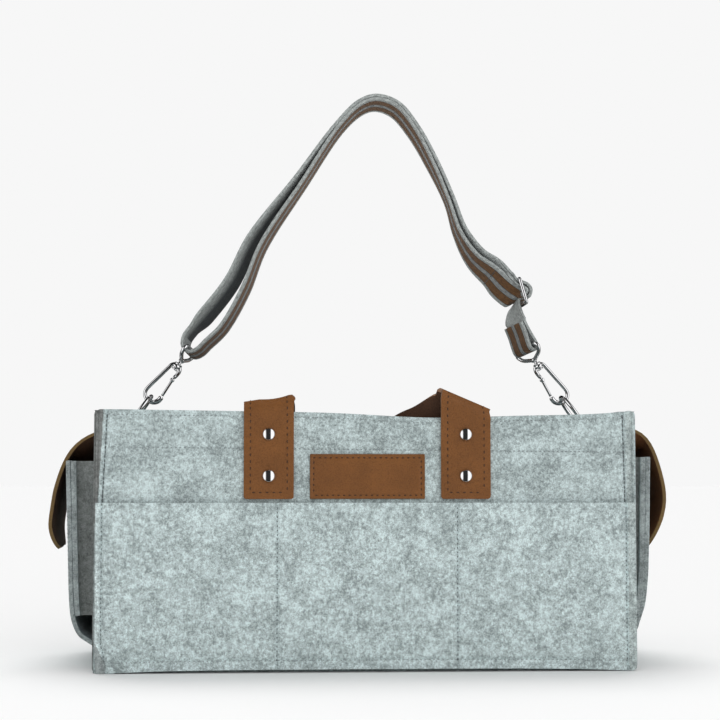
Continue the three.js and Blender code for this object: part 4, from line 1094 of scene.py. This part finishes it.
def webbing_material(name, *stops):
    graph = material_graph(name)
    uv = graph.add("UVMap", {}).outputs["UV"]
    parts = graph.add("SeparateXYZ", {"Vector": uv}).outputs
    color = graph.ramp(graph.calc("MULTIPLY", parts["X"], 1 / STRAP_WIDTH), *stops)
    threads = graph.noise(uv, scale=900, detail=3, rough=0.7, stretch=(1, 3, 1))
    threads = graph.ramp(threads, (0.3, grey(0.18)), (0.7, grey(0.85)))
    color = graph.mix("OVERLAY", 0.8, color, threads)
    waves = [graph.calc("SINE", graph.calc("MULTIPLY", parts[axis], 2 * math.pi / period))
             for axis, period in (("X", RIB_ACROSS), ("Y", RIB_ALONG))]
    rib = graph.calc("MULTIPLY", *waves)
    color = graph.mix("MULTIPLY", 0.5, color, graph.ramp(rib, (0.0, grey(0.55)), (0.5, grey(1.0))))
    graph.shade({"Base Color": color, "Roughness": 0.9, "Sheen Weight": 0.15})
    graph.bump(rib, strength=0.35, distance=0.3 * MM)
    return graph.owner


PALE, GREY, BROWN = (0.42, 0.45, 0.44), (0.30, 0.315, 0.315), (0.175, 0.085, 0.032)
DARK, SHADE_SLATE = (0.050, 0.050, 0.050), (0.040, 0.047, 0.052)
half_stripes = [(0.0, PALE), (0.09, PALE), (0.11, DARK), (0.13, BROWN), (0.39, BROWN), (0.41, DARK),
                (0.43, GREY)]
striped = webbing_material("webbing_striped", *half_stripes,
                           *((1 - place, color) for place, color in half_stripes[::-1]))
plain = webbing_material("webbing_plain", (0.0, DARK), (0.04, PALE), (0.96, PALE), (1.0, DARK))
# Painted shade: dark slate over half the width stands for the shade between the two layers.
shaded_inside = webbing_material(
    "webbing_inside_shade", (0.0, SHADE_SLATE), (0.5, SHADE_SLATE), (0.84, PALE), (1.0, PALE))
WEBBINGS = [striped, plain, shaded_inside]
STRIPED, PLAIN, INSIDE = 0, 1, 2


def webbing_band(name, stations, width, thickness, steps, body, shaded_part=(0, 0)):
    """A flat band along stations of (point, width direction), with a UV map in metres."""
    frames = band_frames(stations, steps)
    runs = runs_along([center for center, _, _ in frames])
    columns, half, bend = between(-1, 1, 8), thickness / 2, 0.3 * thickness
    turns = [math.radians(a) for a in (60, 20, -20, -60)]
    edge = [(1, math.cos(t), math.sin(t)) for t in turns]
    ring = ([(u, 0.0, 1.0) for u in columns] + edge + [(u, 0.0, -1.0) for u in columns[::-1]]
            + [(-u, -e, -h) for u, e, h in edge])
    n = len(ring)
    points = [center + across * (u * (width / 2 - bend) + e * bend) + normal * (h * half)
              for center, across, normal in frames for u, e, h in ring]
    obj = add_mesh(name, points, skin(len(frames), n), WEBBINGS, body)
    layer = obj.data.uv_layers.new(name="UVMap")
    top, side = len(columns) - 1, len(edge) + 1
    for face in obj.data.polygons:
        k = face.index % n
        is_top, is_edge = k < top, top <= k < top + side or k >= 2 * top + side
        # Faces of the back side in the shaded stretch take the painted-shade inside.
        is_shaded = not is_edge and shaded_part[0] <= face.index // n / steps < shaded_part[1]
        face.material_index = STRIPED if is_top else INSIDE if is_shaded else PLAIN
        for corner in face.loop_indices:
            vertex = obj.data.loops[corner].vertex_index
            u, _, h = ring[vertex % n]
            place = 0.5 + 0.05 * h if is_edge else (u + 1) / 2
            layer.data[corner].uv = (place * width, runs[vertex // n])
    print(name, round(runs[-1], 3), "m of webbing")
    return obj


tab_turn = RING_WIRE / 2 + GAP + TAB_WEBBING / 2
wall_layer = RING_BAR.x + tab_turn
inner_layer = wall_layer - TAB_WEBBING - GAP
tab_bottom = RING_BAR.z - 36 * MM
tab_profile = ([(wall_layer, tab_bottom)] + arc(RING_BAR.x, RING_BAR.z, tab_turn, 0, 180, 8)
               + [(RING_BAR.x - tab_turn + 0.6 * MM, RING_BAR.z - 4 * MM),
                  (inner_layer, RING_BAR.z - 14 * MM), (inner_layer, tab_bottom)])
for side, put in SIDES.items():
    stations = [(put(x, 0, z), put(*Y_AXIS)) for x, z in tab_profile]
    tab = webbing_band(f"{side}_ring_tab_webbing", stations, TAB_WIDTH, TAB_WEBBING, 3, "caddy")
    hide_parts(f"{side}_ring_tab")

# %% [markdown]
# Each hook hangs from a swivel: a wire eye on a headed stud turns in the hook's collar, and a
# spring gate closes the hook against its nose. All of it lies in one plane that leans with the
# strap, so the points are given in the hook's own frame and then placed.

# %% Swivel hooks
HOOK_WIRE, HOOK_BOW, HOOK_LENGTH, SHOULDER, GATE_PIVOT = mm(3.2, 6.4, 37, 4.3, 13.4)
EYE_REACH, EYE_ROUND, EYE_CLEAR = mm(13.5, 3, 1.5)
SWIVEL_TO_RING = HOOK_LENGTH - HOOK_WIRE / 2 - 0.9 * MM - RING_WIRE / 2
RING_TOP = RING_BAR + ring_lean @ Vector((0, 0, RING_REACH))
HOOK_LEAN = {"left": math.radians(40), "right": math.radians(-36)}
EYE_TWIST = {"left": math.radians(-14), "right": math.radians(26)}
BOWL, NOSE = HOOK_BOW - HOOK_LENGTH, math.radians(20)
PIVOT_X = SHOULDER - 0.3 * MM
GATE_WIRE, PIN_WIRE, EYE_WIRE, LINK_WIRE = mm(1.05, 0.6, 1.5, 0.8)
SPINE_WIRE, NOSE_MORE = mm(1.45, 0.55)
NOSE_START, NOSE_GROWTH, TIP_START, TIP_SHARE = 0.72, 1.6, 0.985, 0.8


def swivel_place(side):
    sign = -1 if side == "left" else 1
    tilt = abs(HOOK_LEAN[side])
    return Vector((sign * (RING_TOP.x - SWIVEL_TO_RING * math.sin(tilt)), 0,
                   RING_TOP.z + SWIVEL_TO_RING * math.cos(tilt)))


def hook_frame(side):
    return Matrix.Translation(swivel_place(side)) @ Matrix.Rotation(HOOK_LEAN[side], 4, "Y")


def joined(parts):
    """One list of points and faces from several."""
    points, faces = [], []
    for more_points, more_faces in parts:
        start = len(points)
        points += more_points
        faces += [tuple(start + k for k in face) for face in more_faces]
    return points, faces


def hook_radius(t):
    """The hook's wire grows thicker towards the nose and is a little thinner at its tip."""
    nose = max(0.0, (t - NOSE_START) / (1 - NOSE_START))
    size = SPINE_WIRE + NOSE_MORE * min(1.0, NOSE_GROWTH * nose)
    return size * (1.0 if t < TIP_START else TIP_SHARE)


shoulders = [(SHOULDER, -7.5 * MM), (PIVOT_X, -5 * MM), (SHOULDER - 1.4 * MM, -3.1 * MM),
             (1.4 * MM, -2.3 * MM)]
body_outline = [(PIVOT_X, 2.4 * MM - GATE_PIVOT)] + shoulders
body_outline += [(-x, z) for x, z in shoulders[::-1]] + [(-SHOULDER - 0.8 * MM, -16 * MM)]
body_outline += arc(0, BOWL, HOOK_BOW, 175, 380, 10)
body_path = smooth_line([(x, 0, z) for x, z in body_outline], 6)
collar = lathe(pairs((1.8, -4.5), (3.0, -4.4), (3.4, -3.9), (3.4, -2.6), (3.0, -2.2), (3.0, -1.4),
                     (3.4, -1.0), (2.6, -0.4), (1.8, -0.4)), 24)
disc, disc_faces = lathe(pairs((1.7, 0), (1.7, 0.5), (1.3, 0.8), (0.05, 0.8)), 20)
cheeks = []
for sign in (-1, 1):
    cheeks.append(([Vector((PIVOT_X + p.x, sign * (1.3 * MM + p.z), -GATE_PIVOT - sign * p.y))
                    for p in disc], disc_faces))
    link = [Vector((PIVOT_X, sign * 1.55 * MM, z - GATE_PIVOT)) for z in mm(0, 1.5, 3, 4.6)]
    cheeks.append(tube(link, Y_AXIS, LINK_WIRE))
gate_foot = Vector((PIVOT_X, 0, 1.1 * MM - GATE_PIVOT))
gate_end = Vector((HOOK_BOW * math.cos(NOSE), 0, BOWL + HOOK_BOW * math.sin(NOSE) + 0.9 * MM))
gate_path = [gate_foot.lerp(gate_end, t) for t in between(0, 1, 6)]
pin_path = [Vector((PIVOT_X, y, -GATE_PIVOT)) for y in mm(-2.5, -1, 1, 2.5)]
eye_half = STRAP_WIDTH / 2 + EYE_CLEAR + HOOK_WIRE / 2
eye_outline = (arc(eye_half - EYE_ROUND, EYE_REACH - EYE_ROUND, EYE_ROUND, 0, 90, 5)
               + arc(EYE_ROUND - eye_half, EYE_REACH - EYE_ROUND, EYE_ROUND, 90, 180, 5)
               + [(-eye_half * 0.8, EYE_REACH - 6.6 * MM)]
               + pairs((-4.5, 3.9), (-2, 3.2), (2, 3.2), (4.5, 3.9))
               + [(eye_half * 0.8, EYE_REACH - 6.6 * MM)])
eye_path = smooth_line([(0, y, z) for y, z in eye_outline + eye_outline[:1]], 5)[:-1]
stud = lathe(pairs((2.3, -6.4), (2.3, -5.4), (1.3, -5.2), (1.3, 1.2), (2.2, 1.6), (2.4, 3.2),
                   (1.6, 4.4), (0.05, 4.6)), 20)

for side in SIDES:
    place = hook_frame(side)
    clasp = place @ Matrix.Rotation(0 if side == "left" else math.pi, 4, "Z")
    eye_place = place @ Matrix.Rotation(EYE_TWIST[side], 4, "Z")
    for name, parts, matrix, body, node in (
            ("hook_chrome", [tube(body_path, Y_AXIS, hook_radius), collar] + cheeks, clasp,
             f"{side}_hook", "hook_body"),
            ("gate_chrome", [tube(gate_path, Y_AXIS, GATE_WIRE)], clasp, f"{side}_gate",
             "hook_gate"),
            ("pin_chrome", [tube(pin_path, X_AXIS, PIN_WIRE)], clasp, f"{side}_hook", "gate_pin"),
            ("eye_chrome", [tube(eye_path, X_AXIS, EYE_WIRE, True), stud], eye_place, "strap",
             "swivel_eye")):
        points, faces = joined(parts)
        points = [matrix @ p for p in points]
        obj = add_mesh(f"{side}_{name}", points, faces, [chrome], body)
        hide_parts(f"{side}_{node}")

# %% [markdown]
# The shoulder strap is one length of webbing. It starts at its sewn end on the slider's middle
# bar, goes over the arch, round the left eye, back over the arch, through the slider and round the
# right eye. The two layers lie apart on the left and close together on the right, as the
# photograph shows.

# %% Shoulder strap
SLIDER_HEIGHT, SLIDER_BAR, SLIDER_CLEAR, SLIDER_ROUND = mm(22, 2.8, 1.5, 2)
SLIDER_PLACE, SLIDER_LEAN, TAB_LEAN = mm(-12.3, -2, 54.6), math.radians(-16), math.radians(-24)
ARCH_X, ARCH_RISE = mm(14, 243.6)
STRAP_STEPS = 8
slider_matrix = (Matrix.Translation(swivel_place("right") + Vector(SLIDER_PLACE))
                 @ Matrix.Rotation(SLIDER_LEAN, 4, "Y"))
left_eye = hook_frame("left") @ Matrix.Rotation(EYE_TWIST["left"], 4, "Z")
right_tab = (Matrix.Translation(hook_frame("right") @ Vector((0, 0, EYE_REACH)))
             @ Matrix.Rotation(TAB_LEAN, 4, "Y")
             @ Matrix.Rotation(EYE_TWIST["right"], 4, "Z"))


def stations_in(matrix, points):
    """Stations of (x, z) in millimetres, or (x, z, turn) where the near edge is lifted."""
    raised, stations = Vector((0.8, 0, 0.6)), []
    for x, z, *turn in points:
        angle = math.radians(turn[0] if turn else 0)
        across = raised * math.sin(angle) - Y_AXIS * math.cos(angle)
        stations.append((matrix @ Vector(mm(x, 0, z)), matrix.to_3x3() @ across))
    return stations


arch_left, arch_right = swivel_place("left"), swivel_place("right")
arch_top = Vector((ARCH_X, 0, HEIGHT + ARCH_RISE))
TOUCH = STRAP_WEBBING / 2 / MM + 0.06
# Each row: start, x, y and z from it, half the gap, turns of the inner and the outer layer.
route = [(arch_left, 26.5, 0, 31.4, 8.3, 14, 26), (arch_left, 44.7, 0, 59.2, 6, 14, 25),
         (arch_left, 59.7, 0, 92.9, 4.5, 12, 22), (arch_left, 92.2, 0, 140.2, 2.6, 9, 13),
         (arch_top, -28, 0, -19.4, TOUCH, 9, 9), (arch_top, -12, 0, -3.9, TOUCH, 11, 11),
         (arch_top, 0, 0, 0, TOUCH, 12, 12), (arch_top, 15, 0, -4.9, TOUCH, 12, 12),
         (arch_top, 29.5, 0, -21.9, TOUCH, 10, 10), (arch_right, -80.2, 0, 154.5, 1.5, 6, 6.5),
         (arch_right, -66.9, 0, 125.5, 1.7, 1, 3), (arch_right, -58.8, 1, 101.5, 2, 6, 9),
         (arch_right, -47, 3, 82.5, 2.4, 19, 23)]
arch_points = [start + Vector(mm(x, y, z)) for start, x, y, z, _, _, _ in route]


def layer(side):
    stations = []
    for i, (point, (*_, half, inner_turn, outer_turn)) in enumerate(zip(arch_points, route)):
        along = direction_at(arch_points, i)
        inward = Vector((along.z, 0, -along.x)).normalized()
        angle = math.radians(inner_turn if side > 0 else outer_turn)
        stations.append((point + inward * (side * half * MM),
                         -(Y_AXIS * math.cos(angle) + inward * math.sin(angle))))
    return stations


eye_bottom = (EYE_REACH - HOOK_WIRE / 2 - GAP - STRAP_WEBBING / 2) / MM
bar_turn = (SLIDER_BAR * 0.75 + GAP + STRAP_WEBBING / 2) / MM
sewn_end = stations_in(slider_matrix, [
    (-13, 12.4, 38), (-9.8, 7.6, 34), (-6.6, 5, 22), (-3, 4.2, 8), (0.6, bar_turn), (bar_turn, 0),
    (0.6, -bar_turn), (-3, -3.6, 14), (-6.6, -1.2, 46), (-13.4, 8.0, 44), (-18.4, 18.2, 35)])
left_loop = stations_in(left_eye, [
    (7.2, 25), (6.4, 17), (3.6, eye_bottom + 1.2), (0, eye_bottom), (-4.4, eye_bottom + 1.6),
    (-8.2, 18), (-9, 26)])
through_slider = stations_in(slider_matrix, [
    (-14.1, 21.4, 35), (-9.1, 11.4, 36), (-5.1, 8, 20), (0, 7, 4), (4.6, 4.8), (6.8, 0), (4.2, -5)])
below_slider = [(slider_matrix.translation + Vector(mm(-3, 10, -9)), Vector((0.15, -0.95, 0.3))),
                (slider_matrix.translation + Vector(mm(-3.4, 7, -18)), Vector((0.32, -0.93, 0.1)))]
right_loop = stations_in(right_tab, [
    (1.6, 21), (1.9, 12), (3, 4), (3.2, 0), (2.2, -2.3), (0, -3.2), (-2.2, -2.3), (-3.2, 0),
    (-3, 4), (-1.9, 12), (-1.5, 20.5)])
strap_stations = (sewn_end + layer(1)[::-1] + left_loop + layer(-1) + through_slider + below_slider
                  + right_loop)
outer_start = len(sewn_end) + len(route) + len(left_loop)
# The outer layer's back face over the arch takes the painted-shade webbing.
strap = webbing_band("shoulder_strap_webbing", strap_stations, STRAP_WIDTH, STRAP_WEBBING,
                     STRAP_STEPS, "strap", (outer_start - 2, outer_start + len(route)))
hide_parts("shoulder_strap")
center, across, normal = band_frames(strap_stations, STRAP_STEPS)[STRAP_STEPS * (len(sewn_end) - 1)]
sewn_row = [(center + across * (t * 0.42 * STRAP_WIDTH) + normal * (STRAP_WEBBING / 2), normal)
            for t in (-1, 0, 1)]
stitches("shoulder_strap_thread", [sewn_row], WEB_PITCH, dark_thread, "strap",
         length=WEB_STITCH)

# %% [markdown]
# The slider is a chrome frame with a middle bar. Round wire looks right at this size.

# %% Slider
SLIDER_WIRE = 1.35 * MM
frame_half = STRAP_WIDTH / 2 + SLIDER_CLEAR + SLIDER_BAR / 2
frame_tall = SLIDER_HEIGHT / 2 - SLIDER_BAR / 2
outline = []
for y, z, start in ((1, 1, 0), (-1, 1, 90), (-1, -1, 180), (1, -1, 270)):
    outline += arc(y * (frame_half - SLIDER_ROUND), z * (frame_tall - SLIDER_ROUND), SLIDER_ROUND,
                   start, start + 90, 5)
frame_wire = tube([Vector((0, y, z)) for y, z in outline], X_AXIS, SLIDER_WIRE, True)
bar_path = [Vector((0, y, 0)) for y in between(-frame_half, frame_half, 8)]
points, faces = joined([frame_wire, tube(bar_path, X_AXIS, SLIDER_WIRE)])
points = [slider_matrix @ p for p in points]
slider = add_mesh("strap_slider_chrome", points, faces, [chrome], "strap")
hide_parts("strap_slider")

# %% [markdown]
# A pale studio: one wide floor that takes a soft shadow, an even sky, and two broad suns, a low
# one from the front and a high one from a little behind. The camera sees the sky as plain near-
# white. Chrome sees a darker sky with bright sides, as between two soft boxes, so that wires and
# rivets show dark and light bands.

# %% Floor, sky and sun
BACKGROUND, SKY, BOX_SHIFT, FLOOR_HALF = 0.93, 0.55, 0.1, 40
ground = material_graph("floor")
depth = ground.add("SeparateXYZ", {"Vector": ground.place()}).outputs["Y"]
tone = ground.add("MapRange", {"Value": depth, "From Min": -0.2, "From Max": 0.15,
                               "To Min": 0.955, "To Max": 0.918}).outputs["Result"]
ground.shade({"Base Color": tone, "Roughness": 1.0, "Specular IOR Level": 0.0})
either = ground.add("MixShader", {
    "Fac": ground.add("LightPath", {}).outputs["Is Glossy Ray"],
    1: ground.nodes["Principled BSDF"].outputs["BSDF"],
    2: ground.add("BsdfTransparent", {}).outputs["BSDF"]})
ground.feed(ground.nodes["Material Output"], {"Surface": either.outputs["Shader"]})
floor_mesh = bpy.data.meshes.new("floor")
floor_mesh.from_pydata([(x * FLOOR_HALF, y * FLOOR_HALF, 0)
                        for x, y in ((-1, -1), (1, -1), (1, 1), (-1, 1))], [], [(0, 1, 2, 3)])
floor_mesh.materials.append(ground.owner)
floor = show("floor", floor_mesh)
floor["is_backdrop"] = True

sky = Graph(bpy.data.worlds.new("studio"))
bpy.context.scene.world = sky.owner
rays = sky.add("LightPath", {}).outputs
direction = sky.add("SeparateXYZ", {"Vector": sky.place("Generated")}).outputs
sideways = sky.calc("ABSOLUTE", sky.calc("ADD", direction["X"], BOX_SHIFT))
boxes = sky.ramp(sideways, (0.40, grey(0.03)), (0.64, grey(1.5)), (1.0, grey(1.2)))
ahead = sky.add("MapRange", {"Value": direction["Y"], "From Min": -1.0}).outputs["Result"]
room = sky.ramp(ahead, (0.40, grey(1.0)), (0.62, grey(0.06)), (1.0, grey(0.25)))
mirror_sky = sky.mix("MULTIPLY", 1.0, boxes, room)
plain_sky = sky.mix("MIX", rays["Is Camera Ray"], grey(SKY), grey(BACKGROUND))
seen_sky = sky.mix("MIX", rays["Is Glossy Ray"], plain_sky, mirror_sky)
sky.feed(sky.nodes["Background"], {"Color": seen_sky, "Strength": 1.0})

SUNS = (("front_sun", 0.78, 45, 68, 12), ("top_sun", 1.32, 36, -24, 4))
for name, energy, width, tip, turn in SUNS:
    sun = show(name, bpy.data.lights.new(name, "SUN"))
    sun.data.energy = energy
    sun.data.angle = math.radians(width)
    sun.rotation_euler = Euler((math.radians(tip), 0, math.radians(turn)))
    sun.visible_glossy = False

# %% [markdown]
# The camera stands low in front, a little to the left, and looks slightly up, as in the
# photograph. Its place and lens were worked out from the corners of the felt body.

# %% Camera
camera = show("camera", bpy.data.cameras.new("camera"))
camera.location = (-0.0837, -1.39793, 0.13376)
camera.rotation_euler = Vector((0.06092, 0.99597, 0.0658)).to_track_quat("-Z", "Y").to_euler()
camera.data.lens = 91.14
camera.data.sensor_width = 36
bpy.context.scene.camera = camera
bpy.context.scene.view_settings.view_transform = "Standard"

# %% [markdown]
# The last step prints the size of the dressed model.

# %% Sizes and finish
low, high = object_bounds()
print("dressed box", [round(v, 4) for v in low], [round(v, 4) for v in high])
